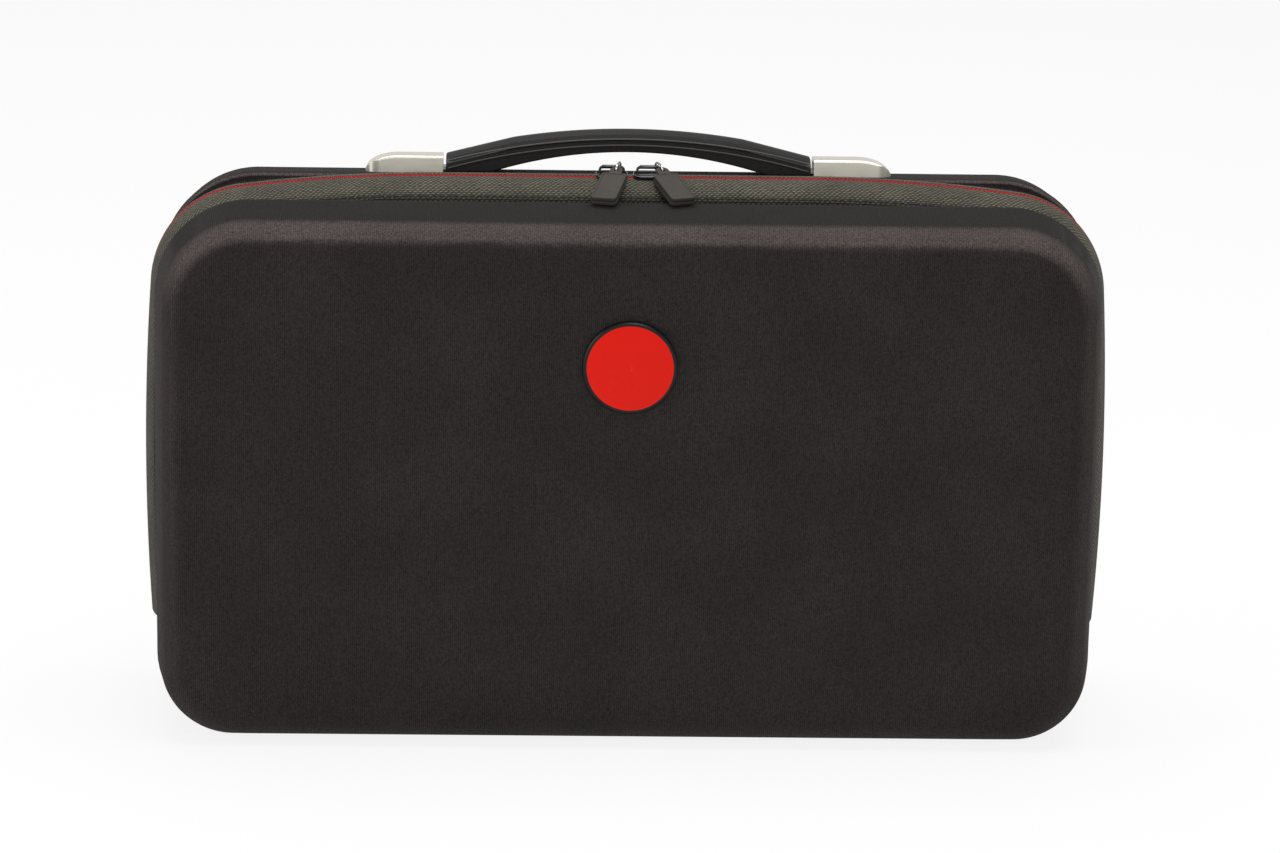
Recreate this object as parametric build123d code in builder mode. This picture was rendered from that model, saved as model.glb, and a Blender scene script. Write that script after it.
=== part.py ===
from build123d import *
import math
import os

# Zip-closed moulded case for harmonicas, standing on its hinge edge.
# X runs along the case, +Y is its back (the base half), +Z is up.  The origin is
# in the parting plane, at the middle of the edge that the case stands on.

os.makedirs("parts", exist_ok=True)

# ------------------------------------------------------------ driving sizes, mm
# Moulded halves, alike front and back
RIM_WIDTH = 390.0          # across the bead that borders the zip band
RIM_HEIGHT = 226.0
RIM_CORNER = 40.0
FOOT_EASE = 4.0            # how much tighter the strip's corners are at the foot
SIDE_BOW = 0.8             # how far the short sides swell at mid height
RIM_DEPTH = 22.0           # parting plane to the bead
BEAD_WIDTH = 4.0           # the case stands on the bead's level strip
BEAD_ROUND = 1.8           # of the bead's edge beside the tape
HALF_DEPTH = 54.0          # parting plane to the flat outer face
DRAFT = 8.2                # degrees
FACE_FILLET = 12.0
SHELL_WALL = 3.0
LINING_WALL = 0.8
EDGE_SETBACK = 9.0         # parting plane to the shell's cut edge

# Zip band: one chain from side to side over the top
BAND_PROUD = 5.3           # bead to the chain where the chain is widest
BAND_WIDEST_Z = 111.5
BAND_RISE = 5.5            # top of the bead to the chain's straight run
BAND_STRAIGHT = 150.0      # straight run on top
SHOULDER_RADIUS = 650.0
CORNER_EASE = 2.0          # how much wider the chain's corners are than the bead's
SIDE_DROP = 2.1            # how far the chain draws in from its widest to the zip ends
ZIP_END_Z = 43.5
GROOVE_WIDTH = 2.0         # tape's sewn edge to the bead
TAPE_DROP = 6.2            # how far the tape falls from the chain to that edge
TAPE_WALL = 1.2
TAPE_EDGE = 0.5            # parting plane to the tape's inner edge
SEAM_CLEARANCE = 0.1       # between layers that are sewn together
COIL_WIDTH = 3.0
COIL_HEIGHT = 2.0
COIL_FIT = 0.25            # tape to the coil
END_PATCH_LENGTH = 14.0
END_PATCH_RISE = 3.0

# Binding over the shells' cut edges
BINDING_WALL = 0.8
BINDING_LEG = 8.0

# Webbing that is the hinge
WEBBING_WALL = 1.2
WEBBING_LIFT = 0.2         # above the surface that the case stands on
WEBBING_GAP = 0.25         # parting plane to each half's fold edge

# Zip sliders
SLIDER_LENGTH = 13.0
SLIDER_WIDTH = 11.0
SLIDER_PLATE = 1.2
SLIDER_CORNER = 3.0
SLIDER_CLEARANCE = 0.3
NECK_THICKNESS = 0.5
NECK_LENGTH = 4.0
LEFT_SLIDER_X = -7.6
RIGHT_SLIDER_X = 7.9
CROWN_LENGTH = 11.0
CROWN_WIDTH = 1.7
CROWN_BAR = 1.4
CROWN_LEG = 1.0
CROWN_ROUND = 2.2
CROWN_EDGE = 0.4

# Wire links and rubber tabs
WIRE = 0.9
PIVOT_FIT = 0.3            # crown's bar to the link's ends
LINK_PITCH = 4.2           # centre to centre of the link's ends
LINK_PLAY = 0.85           # link to the crown's right leg
LEFT_TAB_TURN = -13.7      # degrees about the upright, seen from above
RIGHT_TAB_TURN = 20.0
TAB_REST = 0.25            # tab's free end over the lid
TAB_WIDTH = 10.8
TAB_LENGTH = 27.4
TAB_THICKNESS = 3.5
TAB_CORNER = 1.6
TAB_EDGE = 0.6
TONGUE_WIDTH = 5.4
TONGUE_THICKNESS = 1.5
TONGUE_LENGTH = 4.6        # eye's end bar to the tab's thick part
EYE_FIT = 0.5

# Badge on the lid
BADGE_Z = 164.9
BADGE_DIAMETER = 38.5
BADGE_HEIGHT = 2.4
BADGE_RIM_WIDTH = 1.5
BADGE_SEAT = 0.6
BADGE_CROWN = 1.1
BADGE_FIT = 0.15

# Strap handle on the base's top wall
HANDLE_SETBACK = 1.0       # middle of the top wall's flat to the handle's middle
HANDLE_LENGTH = 220.0
CAP_LENGTH = 32.6
CAP_WIDTH = 19.5
CAP_HEIGHT = 7.0
CAP_RAMP = 14.0
CAP_CORNER = 6.0
CAP_EDGE = 1.0
CAP_WALL = 1.5
CAP_NOSE = 11.6            # solid end of the cap
POCKET_WIDTH = 13.6
BOSS_RADIUS = 3.0
BOSS_INSET = 12.0          # cap's mouth to its boss
NOSE_SCREW = 7.6           # cap's end to its outer screw
GRIP_GAP = 1.2             # grip to the cap's mouth
GRIP_WIDTH = 20.0
GRIP_MID_HIGH = 16.8       # heights above the top wall
GRIP_ARCH_END = 8.5
GRIP_END_HIGH = 7.5
GRIP_CROWN_RISE = 3.3
GRIP_FLAT = 28.2           # length of the grip's end flats
GRIP_MID_LOW = 8.3
GRIP_LOW = 0.4
GRIP_FOOT = 22.2           # length of the level underside at each end
GRIP_CORNER = 1.2
RIB_HEIGHTS = ((13.5, 5.0), (11.2, 1.8))   # each rib's middle and ends
RIB_WIDTH = 0.6
RIB_PROUD = 0.35
STRAP_WIDTH = 12.5
STRAP_THICKNESS = 1.2
STRAP_LOW = 1.0
STRAP_RISE = 9.4
STRAP_END_PLAY = 2.5
STRAP_SLOT_WIDTH = 7.0
STRAP_SLOT_LENGTH = 10.0
SCREW_RADIUS = 1.5
SCREW_HOLE_FIT = 0.1
SCREW_HEAD_RADIUS = 3.0
SCREW_HEAD_HEIGHT = 2.2
SCREW_REACH = 4.5          # into the cap, above the top wall
PLATE_LENGTH = 26.0
PLATE_EDGE = 1.0           # backing plate to the ends of the top wall's flat
PLATE_CORNER = 3.0
PLATE_THICKNESS = 1.5

# Foam inserts for the harmonicas
INSERT_FIT = 0.5           # inserts to the lining
INSERT_GAP = 0.4
COLUMN_PITCH = 118.0
SLOT_LENGTH = 103.0
SLOT_WIDTH = 21.0
SLOT_PITCH = 27.5
SLOT_DEPTH = 24.0
SLOT_CORNER = 2.0
FLOOR_SHEET = 6.0
STRIP_WIDTH = 20.0
STRIP_LENGTH = 150.0
STRIP_THICKNESS = 1.5
STRIP_SPACING = 60.0

# Net pocket inside the lid
NET_DEPTH = 30.0           # parting plane to the net
NET_WALL = 0.8
NET_TOP = 172.0
NET_CLEARANCE = 0.3
HEM_WIDTH = 9.0
HEM_WALL = 2.2

# ------------------------------------------------------------- derived values
BACK, FRONT = 1, -1
DRAFT_TAN = math.tan(math.radians(DRAFT))
DRAFT_COS = math.cos(math.radians(DRAFT))
DRAFT_SIN = math.sin(math.radians(DRAFT))
TAPE_REACH = RIM_DEPTH - GROOVE_WIDTH
TAPE_RADIUS = (TAPE_REACH**2 + TAPE_DROP**2) / (2 * TAPE_DROP)
TAPE_FOOT = TAPE_RADIUS - (TAPE_RADIUS - TAPE_WALL) * math.sqrt(1 - (TAPE_REACH / TAPE_RADIUS) ** 2)
BAND_INSET = TAPE_FOOT + SEAM_CLEARANCE   # chain line to the shell's rim strip
HINGE_SEAT = WEBBING_LIFT + WEBBING_WALL + SEAM_CLEARANCE
BEAD_END = RIM_DEPTH + BEAD_WIDTH
LINER = SHELL_WALL + LINING_WALL
FLOOR_DEPTH = HALF_DEPTH - LINER


def face_plane(side, depth):
    """Plane across the case at a depth from the parting plane, facing outwards."""
    return Plane(origin=(0, side * depth, 0), x_dir=(-side, 0, 0), z_dir=(0, side, 0))


# ------------------------------------------------------ the chain line's circles
BAND_REACH = RIM_WIDTH / 2 + BAND_PROUD
BAND_TOP = RIM_HEIGHT + BAND_RISE
BAND_CORNER = RIM_CORNER + CORNER_EASE
SIDE_RADIUS = ((BAND_WIDEST_Z - ZIP_END_Z) ** 2 + SIDE_DROP**2) / (2 * SIDE_DROP)
SHOULDER_CENTRE = (BAND_STRAIGHT / 2, BAND_TOP - SHOULDER_RADIUS)
SIDE_CENTRE = (BAND_REACH - SIDE_RADIUS, BAND_WIDEST_Z)


def inner_tangent_centre(first, first_radius, second, second_radius, radius):
    """Centre of a circle that touches two larger circles from the inside, up and right."""
    reach_a, reach_b = first_radius - radius, second_radius - radius
    gap_x, gap_z = second[0] - first[0], second[1] - first[1]
    gap = math.hypot(gap_x, gap_z)
    along = (reach_a**2 - reach_b**2 + gap**2) / (2 * gap)
    across = math.sqrt(reach_a**2 - along**2)
    foot = (first[0] + along * gap_x / gap, first[1] + along * gap_z / gap)
    options = [
        (foot[0] - s * across * gap_z / gap, foot[1] + s * across * gap_x / gap)
        for s in (1, -1)
    ]
    return max(options, key=lambda centre: centre[0] + centre[1])


CORNER_CENTRE = inner_tangent_centre(
    SHOULDER_CENTRE, SHOULDER_RADIUS, SIDE_CENTRE, SIDE_RADIUS, BAND_CORNER
)


def bearing(start, end):
    """Angle of the line from one point to another, in degrees."""
    return math.degrees(math.atan2(end[1] - start[1], end[0] - start[0]))


SHOULDER_END = bearing(SHOULDER_CENTRE, CORNER_CENTRE)
SIDE_START = bearing(SIDE_CENTRE, CORNER_CENTRE)
ZIP_END_ANGLE = -math.degrees(math.asin((BAND_WIDEST_Z - ZIP_END_Z) / SIDE_RADIUS))


def mirrored(point):
    """The same point on the left of the case."""
    return (-point[0], point[1])


def chain_line(inset):
    """Arcs of the chain line, from the left zip end to the right, moved inwards."""
    side, corner = SIDE_RADIUS - inset, BAND_CORNER - inset
    shoulder = SHOULDER_RADIUS - inset
    CenterArc(mirrored(SIDE_CENTRE), side, 180 - ZIP_END_ANGLE, ZIP_END_ANGLE - SIDE_START)
    CenterArc(mirrored(CORNER_CENTRE), corner, 180 - SIDE_START, SIDE_START - SHOULDER_END)
    CenterArc(mirrored(SHOULDER_CENTRE), shoulder, 180 - SHOULDER_END, SHOULDER_END - 90)
    top = BAND_TOP - inset
    Line((-BAND_STRAIGHT / 2, top), (BAND_STRAIGHT / 2, top))
    CenterArc(SHOULDER_CENTRE, shoulder, 90, SHOULDER_END - 90)
    CenterArc(CORNER_CENTRE, corner, SHOULDER_END, SIDE_START - SHOULDER_END)
    CenterArc(SIDE_CENTRE, side, SIDE_START, ZIP_END_ANGLE - SIDE_START)


def zip_end(inset):
    """Right-hand end of the chain line, moved inwards."""
    angle = math.radians(ZIP_END_ANGLE)
    side = SIDE_RADIUS - inset
    return (SIDE_CENTRE[0] + side * math.cos(angle), SIDE_CENTRE[1] + side * math.sin(angle))


def rim_strip(inset):
    """Face of the stepped strip under the tape, with its outline moved inwards."""
    with BuildSketch() as strip:
        with BuildLine():
            chain_line(BAND_INSET + inset)
            reach, start = zip_end(BAND_INSET + inset)
            low = HINGE_SEAT + inset
            turn = RIM_CORNER - FOOT_EASE - inset
            Line((reach, start), (reach, low + turn))
            CenterArc((reach - turn, low + turn), turn, 0, -90)
            Line((reach - turn, low), (turn - reach, low))
            CenterArc((turn - reach, low + turn), turn, 270, -90)
            Line((-reach, low + turn), (-reach, start))
        make_face()
    return strip.sketch


def bead_outline(inset):
    """Face of the bead's outline, moved inwards: level top and foot, bowed sides."""
    half_width = RIM_WIDTH / 2 - SIDE_BOW - inset
    low, high = inset, RIM_HEIGHT - inset
    with BuildSketch() as outline:
        with BuildLine():
            Line((-half_width, low), (half_width, low))
            SagittaArc((half_width, low), (half_width, high), -SIDE_BOW)
            Line((half_width, high), (-half_width, high))
            SagittaArc((-half_width, high), (-half_width, low), -SIDE_BOW)
        make_face()
        fillet(outline.vertices(), RIM_CORNER - inset)
    return outline.sketch


def outer_form(side):
    """Solid outer form of one half, from the cut edge to the flat face."""
    with BuildPart() as form:
        with BuildSketch(face_plane(side, RIM_DEPTH)):
            add(bead_outline(0))
        extrude(amount=BEAD_WIDTH)
        with BuildSketch(face_plane(side, BEAD_END)):
            add(bead_outline(0))
        with BuildSketch(face_plane(side, HALF_DEPTH)):
            add(bead_outline((HALF_DEPTH - BEAD_END) * DRAFT_TAN))
        loft(ruled=True)
        fillet(form.faces().sort_by(Axis.Y)[::side][-1].edges(), FACE_FILLET)
        fillet(form.faces().sort_by(Axis.Y)[::side][0].edges(), BEAD_ROUND)
        with BuildSketch(face_plane(side, EDGE_SETBACK)):
            add(rim_strip(0))
        extrude(amount=BEAD_END - EDGE_SETBACK)
    return form.part


def room_form(side, wall):
    """Solid of the room inside one half, left by a wall of the given thickness."""
    with BuildPart() as room:
        with BuildSketch(face_plane(side, EDGE_SETBACK)):
            add(rim_strip(wall))
        extrude(amount=BEAD_END - EDGE_SETBACK)
        with BuildSketch(face_plane(side, RIM_DEPTH + wall)):
            add(bead_outline(wall))
        extrude(amount=BEAD_WIDTH - wall)
        with BuildSketch(face_plane(side, BEAD_END)):
            add(bead_outline(wall))
        with BuildSketch(face_plane(side, HALF_DEPTH - wall)):
            add(bead_outline(wall + (HALF_DEPTH - wall - BEAD_END) * DRAFT_TAN))
        loft(ruled=True)
        fillet(room.faces().sort_by(Axis.Y)[::side][-1].edges(), FACE_FILLET - wall)
    return room.part


def finish(piece, name):
    """Label a finished piece and write its file."""
    piece.part.label = name
    export_step(piece.part, f"parts/{name}.step")


# ============================================================ moulded shells
back_form, front_form = outer_form(BACK), outer_form(FRONT)
back_room, front_room = room_form(BACK, SHELL_WALL), room_form(FRONT, SHELL_WALL)
back_inside, front_inside = room_form(BACK, LINER), room_form(FRONT, LINER)

# The handle stands on the base's top wall, which leans back by the draft.
WALL_RUN = HALF_DEPTH - FACE_FILLET - BEAD_END     # depth of the top wall's flat
HANDLE_Y = BEAD_END + WALL_RUN / 2 + HANDLE_SETBACK
PLATE_WIDTH = WALL_RUN - 2 * PLATE_EDGE
SEAT_Z = RIM_HEIGHT - (HANDLE_Y - BEAD_END) * DRAFT_TAN
HANDLE_SEAT = Plane(
    origin=(0, HANDLE_Y, SEAT_Z), x_dir=(1, 0, 0), z_dir=(0, DRAFT_SIN, DRAFT_COS)
)
HANDLE_SIDE = Plane(origin=HANDLE_SEAT.origin, x_dir=(1, 0, 0), z_dir=-HANDLE_SEAT.y_dir)
CAP_MOUTH = HANDLE_LENGTH / 2 - CAP_LENGTH
CAP_POCKET = CAP_LENGTH - CAP_NOSE
OUTER_SCREW_INSET = CAP_LENGTH - NOSE_SCREW
SCREW_SPOTS = [
    (side * (CAP_MOUTH + inset), 0)
    for side in (-1, 1)
    for inset in (BOSS_INSET, OUTER_SCREW_INSET)
]
PLATE_CENTRE = CAP_MOUTH + (BOSS_INSET + OUTER_SCREW_INSET) / 2
LINER_SKIN = LINER * DRAFT_COS      # square through the drafted wall
HOLE_RADIUS = SCREW_RADIUS + SCREW_HOLE_FIT

with BuildPart() as base_shell:
    add(back_form)
    add(back_room, mode=Mode.SUBTRACT)
    with BuildSketch(HANDLE_SEAT.offset(-2 * SHELL_WALL)):
        with Locations(*SCREW_SPOTS):
            Circle(HOLE_RADIUS)
    extrude(amount=3 * SHELL_WALL, mode=Mode.SUBTRACT)
finish(base_shell, "base_shell")

BADGE_FACE = face_plane(FRONT, HALF_DEPTH)
with BuildPart() as lid_shell:
    add(front_form)
    add(front_room, mode=Mode.SUBTRACT)
    with BuildSketch(BADGE_FACE):
        with Locations((0, BADGE_Z)):
            Circle(BADGE_DIAMETER / 2 + BADGE_FIT)
    extrude(amount=-BADGE_SEAT, mode=Mode.SUBTRACT)
finish(lid_shell, "lid_shell")

with BuildPart() as base_lining:
    add(back_room)
    add(back_inside, mode=Mode.SUBTRACT)
    with BuildSketch(HANDLE_SEAT.offset(-2 * LINER)):
        with Locations(*SCREW_SPOTS):
            Circle(HOLE_RADIUS)
    extrude(amount=2 * LINER, mode=Mode.SUBTRACT)
finish(base_lining, "base_lining")

with BuildPart() as lid_lining:
    add(front_room)
    add(front_inside, mode=Mode.SUBTRACT)
finish(lid_lining, "lid_lining")


# ============================================================ badge
with BuildPart() as badge_rim:
    with BuildSketch(face_plane(FRONT, HALF_DEPTH - BADGE_SEAT)):
        with Locations((0, BADGE_Z)):
            Circle(BADGE_DIAMETER / 2)
    extrude(amount=BADGE_SEAT + BADGE_HEIGHT)
    front_edge = badge_rim.faces().sort_by(Axis.Y)[0].edges()
    chamfer(front_edge, BADGE_RIM_WIDTH / 3)
    with BuildSketch(face_plane(FRONT, HALF_DEPTH)):
        with Locations((0, BADGE_Z)):
            Circle(BADGE_DIAMETER / 2 - BADGE_RIM_WIDTH)
    extrude(amount=BADGE_HEIGHT, mode=Mode.SUBTRACT)
finish(badge_rim, "badge_rim")

DISC_RADIUS = BADGE_DIAMETER / 2 - BADGE_RIM_WIDTH
with BuildPart() as badge_disc:
    with BuildSketch(Plane.YZ):
        with BuildLine():
            back, front = -HALF_DEPTH, -HALF_DEPTH - BADGE_HEIGHT
            middle, rim = BADGE_Z, BADGE_Z + DISC_RADIUS
            Polyline((front - BADGE_CROWN, middle), (back, middle), (back, rim), (front, rim))
            bulge = (DISC_RADIUS**2 + BADGE_CROWN**2) / (2 * BADGE_CROWN)
            RadiusArc((front, rim), (front - BADGE_CROWN, middle), -bulge)
        make_face()
    revolve(axis=Axis((0, 0, BADGE_Z), (0, 1, 0)))
finish(badge_disc, "badge_disc")


# ============================================================ zip band
def across_tape(reach):
    """Angle from the chain to a point on the tape's curve, in degrees."""
    return math.degrees(math.asin(reach / TAPE_RADIUS))


with BuildLine(Plane.XZ) as chain_path:
    chain_line(0)
chain_start = Vector(-zip_end(0)[0], 0, zip_end(0)[1])
start_slope = math.radians(ZIP_END_ANGLE)
chain_heading = Vector(math.sin(start_slope), 0, math.cos(start_slope))
chain_section = Plane(origin=chain_start, x_dir=(0, 1, 0), z_dir=chain_heading)

with BuildPart() as base_zip_tape:
    with BuildSketch(chain_section):
        with BuildLine():
            spread = across_tape(TAPE_REACH) - across_tape(TAPE_EDGE)
            low = 90 - across_tape(TAPE_REACH)
            outer = CenterArc((0, -TAPE_RADIUS), TAPE_RADIUS, low, spread)
            inner = CenterArc((0, -TAPE_RADIUS), TAPE_RADIUS - TAPE_WALL, low, spread)
            Line(outer @ 0, inner @ 0)
            Line(outer @ 1, inner @ 1)
        make_face()
    sweep(path=chain_path.wire())
finish(base_zip_tape, "base_zip_tape")

with BuildPart() as base_zip_coil:
    with BuildSketch(chain_section):
        with Locations((TAPE_EDGE + COIL_WIDTH / 2, -TAPE_WALL - COIL_FIT - COIL_HEIGHT / 2)):
            RectangleRounded(COIL_WIDTH, COIL_HEIGHT, COIL_HEIGHT / 3)
    sweep(path=chain_path.wire())
finish(base_zip_coil, "base_zip_coil")

with BuildPart() as base_binding:
    with BuildSketch(face_plane(BACK, EDGE_SETBACK - BINDING_WALL)):
        add(rim_strip(0))
    extrude(amount=BINDING_WALL + BINDING_LEG)
    with BuildSketch(face_plane(BACK, EDGE_SETBACK - BINDING_WALL)):
        add(rim_strip(LINER + BINDING_WALL))
    extrude(amount=BINDING_WALL + BINDING_LEG, mode=Mode.SUBTRACT)
    with BuildSketch(face_plane(BACK, EDGE_SETBACK)):
        add(rim_strip(0))
        add(rim_strip(LINER), mode=Mode.SUBTRACT)
    extrude(amount=BINDING_LEG, mode=Mode.SUBTRACT)
finish(base_binding, "base_binding")

# Webbing along the foot and up round both lower corners, to the zip ends
WEBBING_IN, WEBBING_OUT = -SEAM_CLEARANCE, -SEAM_CLEARANCE - WEBBING_WALL
with BuildPart() as base_hinge_webbing:
    with BuildSketch(face_plane(BACK, WEBBING_GAP)):
        add(rim_strip(WEBBING_OUT))
        add(rim_strip(WEBBING_IN), mode=Mode.SUBTRACT)
        with Locations((0, ZIP_END_Z)):
            Rectangle(
                2 * RIM_WIDTH, 2 * RIM_HEIGHT, align=(Align.CENTER, Align.MIN),
                mode=Mode.SUBTRACT,
            )
    extrude(amount=TAPE_REACH - WEBBING_GAP)
finish(base_hinge_webbing, "base_hinge_webbing")

# Folded patches that close the tape's ends against the webbing
PATCH_FOOT = zip_end(BAND_INSET + WEBBING_OUT)[0]
PATCH_TOP = ZIP_END_Z - SEAM_CLEARANCE
with BuildPart() as base_zip_ends:
    with BuildSketch(Plane.XZ.offset(-TAPE_EDGE)):
        with BuildLine():
            Polyline(
                (PATCH_FOOT, PATCH_TOP),
                (PATCH_FOOT, PATCH_TOP - END_PATCH_LENGTH),
                (PATCH_FOOT + END_PATCH_RISE, PATCH_TOP),
                close=True,
            )
        make_face()
        mirror(about=Plane.YZ)
    extrude(amount=TAPE_EDGE - TAPE_REACH)
finish(base_zip_ends, "base_zip_ends")

for name, base_piece in (
    ("zip_tape", base_zip_tape),
    ("zip_coil", base_zip_coil),
    ("binding", base_binding),
    ("hinge_webbing", base_hinge_webbing),
    ("zip_ends", base_zip_ends),
):
    with BuildPart() as lid_piece:
        mirror(base_piece.part, about=Plane.XZ)
    finish(lid_piece, f"lid_{name}")


# ============================================================ sliders and pulls
PLATE_LOW = BAND_TOP + SLIDER_CLEARANCE
PLATE_HIGH = PLATE_LOW + SLIDER_PLATE
LINK_BORE = math.hypot(CROWN_WIDTH, CROWN_BAR) / 2 + PIVOT_FIT
LINK_OFFSET = CROWN_LENGTH / 2 - CROWN_LEG - WIRE / 2 - LINK_PLAY
COIL_LOW = BAND_TOP - TAPE_WALL - COIL_FIT - COIL_HEIGHT
INNER_HIGH = COIL_LOW - SLIDER_CLEARANCE
CROWN_AXIS_Z = PLATE_HIGH + SLIDER_CLEARANCE + WIRE + LINK_BORE
CROWN_TOP = CROWN_AXIS_Z + CROWN_BAR / 2
CROWN_OPENING = CROWN_TOP - CROWN_BAR - PLATE_HIGH
EYE_RADIUS = WIRE / 2 + EYE_FIT
EYE_CENTRE = -LINK_BORE - WIRE / 2     # along the tab, from the link's far centre
EYE_BAR = -EYE_CENTRE - EYE_RADIUS     # half the bar between the eye and the tab's end
TAB_FALL = CROWN_AXIS_Z - TAB_THICKNESS + TONGUE_THICKNESS / 2 - RIM_HEIGHT - TAB_REST
TAB_SLOPE = math.degrees(math.asin(TAB_FALL / TAB_LENGTH))


def level_heading(turn):
    """Directions across and along a pull that is turned about the upright."""
    angle = math.radians(turn)
    return Vector(math.cos(angle), math.sin(angle), 0), Vector(math.sin(angle), -math.cos(angle), 0)


def pull_plane(x, turn, slope, distance=0):
    """Plane of a pull: its x across the pull, its -y towards the pull's free end."""
    across, along = level_heading(turn)
    fall = math.radians(slope)
    down = along * math.cos(fall) - Vector(0, 0, math.sin(fall))
    origin = Vector(x, 0, CROWN_AXIS_Z) + along * distance
    return Plane(origin=origin, x_dir=across, z_dir=down.cross(across))


for name, x, turn, inner_end in (
    ("left", LEFT_SLIDER_X, LEFT_TAB_TURN, 1),
    ("right", RIGHT_SLIDER_X, RIGHT_TAB_TURN, -1),
):
    with BuildPart() as slider:
        with BuildSketch(Plane.XY.offset(PLATE_LOW)):
            with Locations((x, 0)):
                RectangleRounded(SLIDER_LENGTH, SLIDER_WIDTH, SLIDER_CORNER)
        extrude(amount=SLIDER_PLATE)
        rim = slider.edges().filter_by(Plane.XY).group_by(Axis.Z)[-1]
        chamfer(rim, SLIDER_PLATE / 3)
        with BuildSketch(Plane.XY.offset(INNER_HIGH)):
            with Locations((x, 0)):
                RectangleRounded(SLIDER_LENGTH, SLIDER_WIDTH, SLIDER_CORNER)
        extrude(amount=-SLIDER_PLATE)
        with BuildSketch(Plane.XY.offset(INNER_HIGH)):
            with Locations((x + inner_end * (SLIDER_LENGTH - NECK_LENGTH) / 2, 0)):
                Rectangle(NECK_LENGTH, NECK_THICKNESS)
        extrude(amount=PLATE_LOW - INNER_HIGH)
        with BuildSketch(Plane.XZ):
            with BuildLine():
                left_leg, right_leg = x - CROWN_LENGTH / 2, x + CROWN_LENGTH / 2
                Polyline(
                    (left_leg, PLATE_HIGH), (left_leg, CROWN_TOP),
                    (right_leg, CROWN_TOP), (right_leg, PLATE_HIGH), close=True,
                )
            arch = make_face()
            fillet(arch.vertices().group_by(Axis.Y)[-1], CROWN_ROUND)
            with Locations((x, PLATE_HIGH)):
                Rectangle(
                    CROWN_LENGTH - 2 * CROWN_LEG, CROWN_OPENING,
                    align=(Align.CENTER, Align.MIN), mode=Mode.SUBTRACT,
                )
        extrude(amount=CROWN_WIDTH / 2, both=True)
        crown_edges = slider.edges().filter_by_position(Axis.Z, CROWN_AXIS_Z, CROWN_TOP)
        fillet(crown_edges.filter_by(Axis.Y, reverse=True), CROWN_EDGE)
    finish(slider, f"{name}_slider")

    link_x = x + LINK_OFFSET
    link_plane = pull_plane(link_x, turn, 0)
    link_side = Plane(origin=link_plane.origin, x_dir=link_plane.y_dir, z_dir=link_plane.x_dir)
    with BuildPart() as link:
        with BuildLine(link_side) as wire_path:
            bend = LINK_BORE + WIRE / 2
            Line((0, bend), (-LINK_PITCH, bend))
            CenterArc((-LINK_PITCH, 0), bend, 90, 180)
            Line((-LINK_PITCH, -bend), (0, -bend))
            CenterArc((0, 0), bend, 270, 180)
        wire_start = link_side.from_local_coords(Vector(0, bend, 0))
        with BuildSketch(Plane(origin=wire_start, x_dir=link_plane.x_dir, z_dir=-link_plane.y_dir)):
            Circle(WIRE / 2)
        sweep(path=wire_path.wire())
    finish(link, f"{name}_pull_link")

    tab_plane = pull_plane(link_x, turn, TAB_SLOPE, LINK_PITCH)
    thick_start = -TONGUE_LENGTH
    with BuildPart() as tab:
        with BuildSketch(tab_plane.offset(TONGUE_THICKNESS / 2)):
            with Locations((0, thick_start)):
                Rectangle(TAB_WIDTH, TAB_LENGTH - TONGUE_LENGTH, align=(Align.CENTER, Align.MAX))
            fillet(vertices(), TAB_CORNER)
        extrude(amount=-TAB_THICKNESS)
        chamfer(tab.faces().sort_by(Axis.Z)[-1].edges(), TAB_EDGE)
        with BuildSketch(tab_plane.offset(TONGUE_THICKNESS / 2)):
            with Locations((0, EYE_BAR)):
                Rectangle(
                    TONGUE_WIDTH, TONGUE_LENGTH + EYE_BAR + TAB_CORNER,
                    align=(Align.CENTER, Align.MAX),
                )
            with Locations((0, EYE_CENTRE)):
                Circle(EYE_RADIUS, mode=Mode.SUBTRACT)
        extrude(amount=-TONGUE_THICKNESS)
    finish(tab, f"{name}_pull_tab")


# ============================================================ strap handle
HANDLE_END = HANDLE_LENGTH / 2
with BuildPart() as right_handle_cap:
    with BuildSketch(HANDLE_SIDE):
        with BuildLine():
            ramp_start = HANDLE_END - CAP_RAMP
            EllipticalCenterArc((ramp_start, 0), CAP_RAMP, CAP_HEIGHT, start_angle=0, arc_size=90)
            Polyline(
                (ramp_start, CAP_HEIGHT), (CAP_MOUTH, CAP_HEIGHT), (CAP_MOUTH, 0), (HANDLE_END, 0)
            )
        make_face()
    extrude(amount=CAP_WIDTH / 2, both=True)
    level_top = right_handle_cap.faces().filter_by(HANDLE_SEAT).sort_by(Axis.Z)[-1]
    fillet(level_top.edges().filter_by(Axis.X), CAP_EDGE)
    with BuildSketch(HANDLE_SEAT) as plan:
        with Locations((CAP_MOUTH, 0)):
            Rectangle(CAP_LENGTH, CAP_WIDTH, align=(Align.MIN, Align.CENTER))
        fillet(plan.vertices().group_by(Axis.X)[-1], CAP_CORNER)
    extrude(amount=CAP_HEIGHT, mode=Mode.INTERSECT)
    with BuildSketch(HANDLE_SEAT):
        with Locations((CAP_MOUTH, 0)):
            Rectangle(CAP_POCKET, POCKET_WIDTH, align=(Align.MIN, Align.CENTER))
    extrude(amount=CAP_HEIGHT - CAP_WALL, mode=Mode.SUBTRACT)
    with BuildSketch(HANDLE_SEAT):
        with Locations((CAP_MOUTH + BOSS_INSET, 0)):
            Circle(BOSS_RADIUS)
    extrude(amount=CAP_HEIGHT - CAP_WALL)
    with BuildSketch(HANDLE_SEAT):
        with Locations((CAP_MOUTH + BOSS_INSET, 0), (CAP_MOUTH + OUTER_SCREW_INSET, 0)):
            Circle(HOLE_RADIUS)
    extrude(amount=SCREW_REACH + SCREW_HOLE_FIT, mode=Mode.SUBTRACT)
finish(right_handle_cap, "right_handle_cap")

with BuildPart() as left_handle_cap:
    mirror(right_handle_cap.part, about=Plane.YZ)
finish(left_handle_cap, "left_handle_cap")

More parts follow.
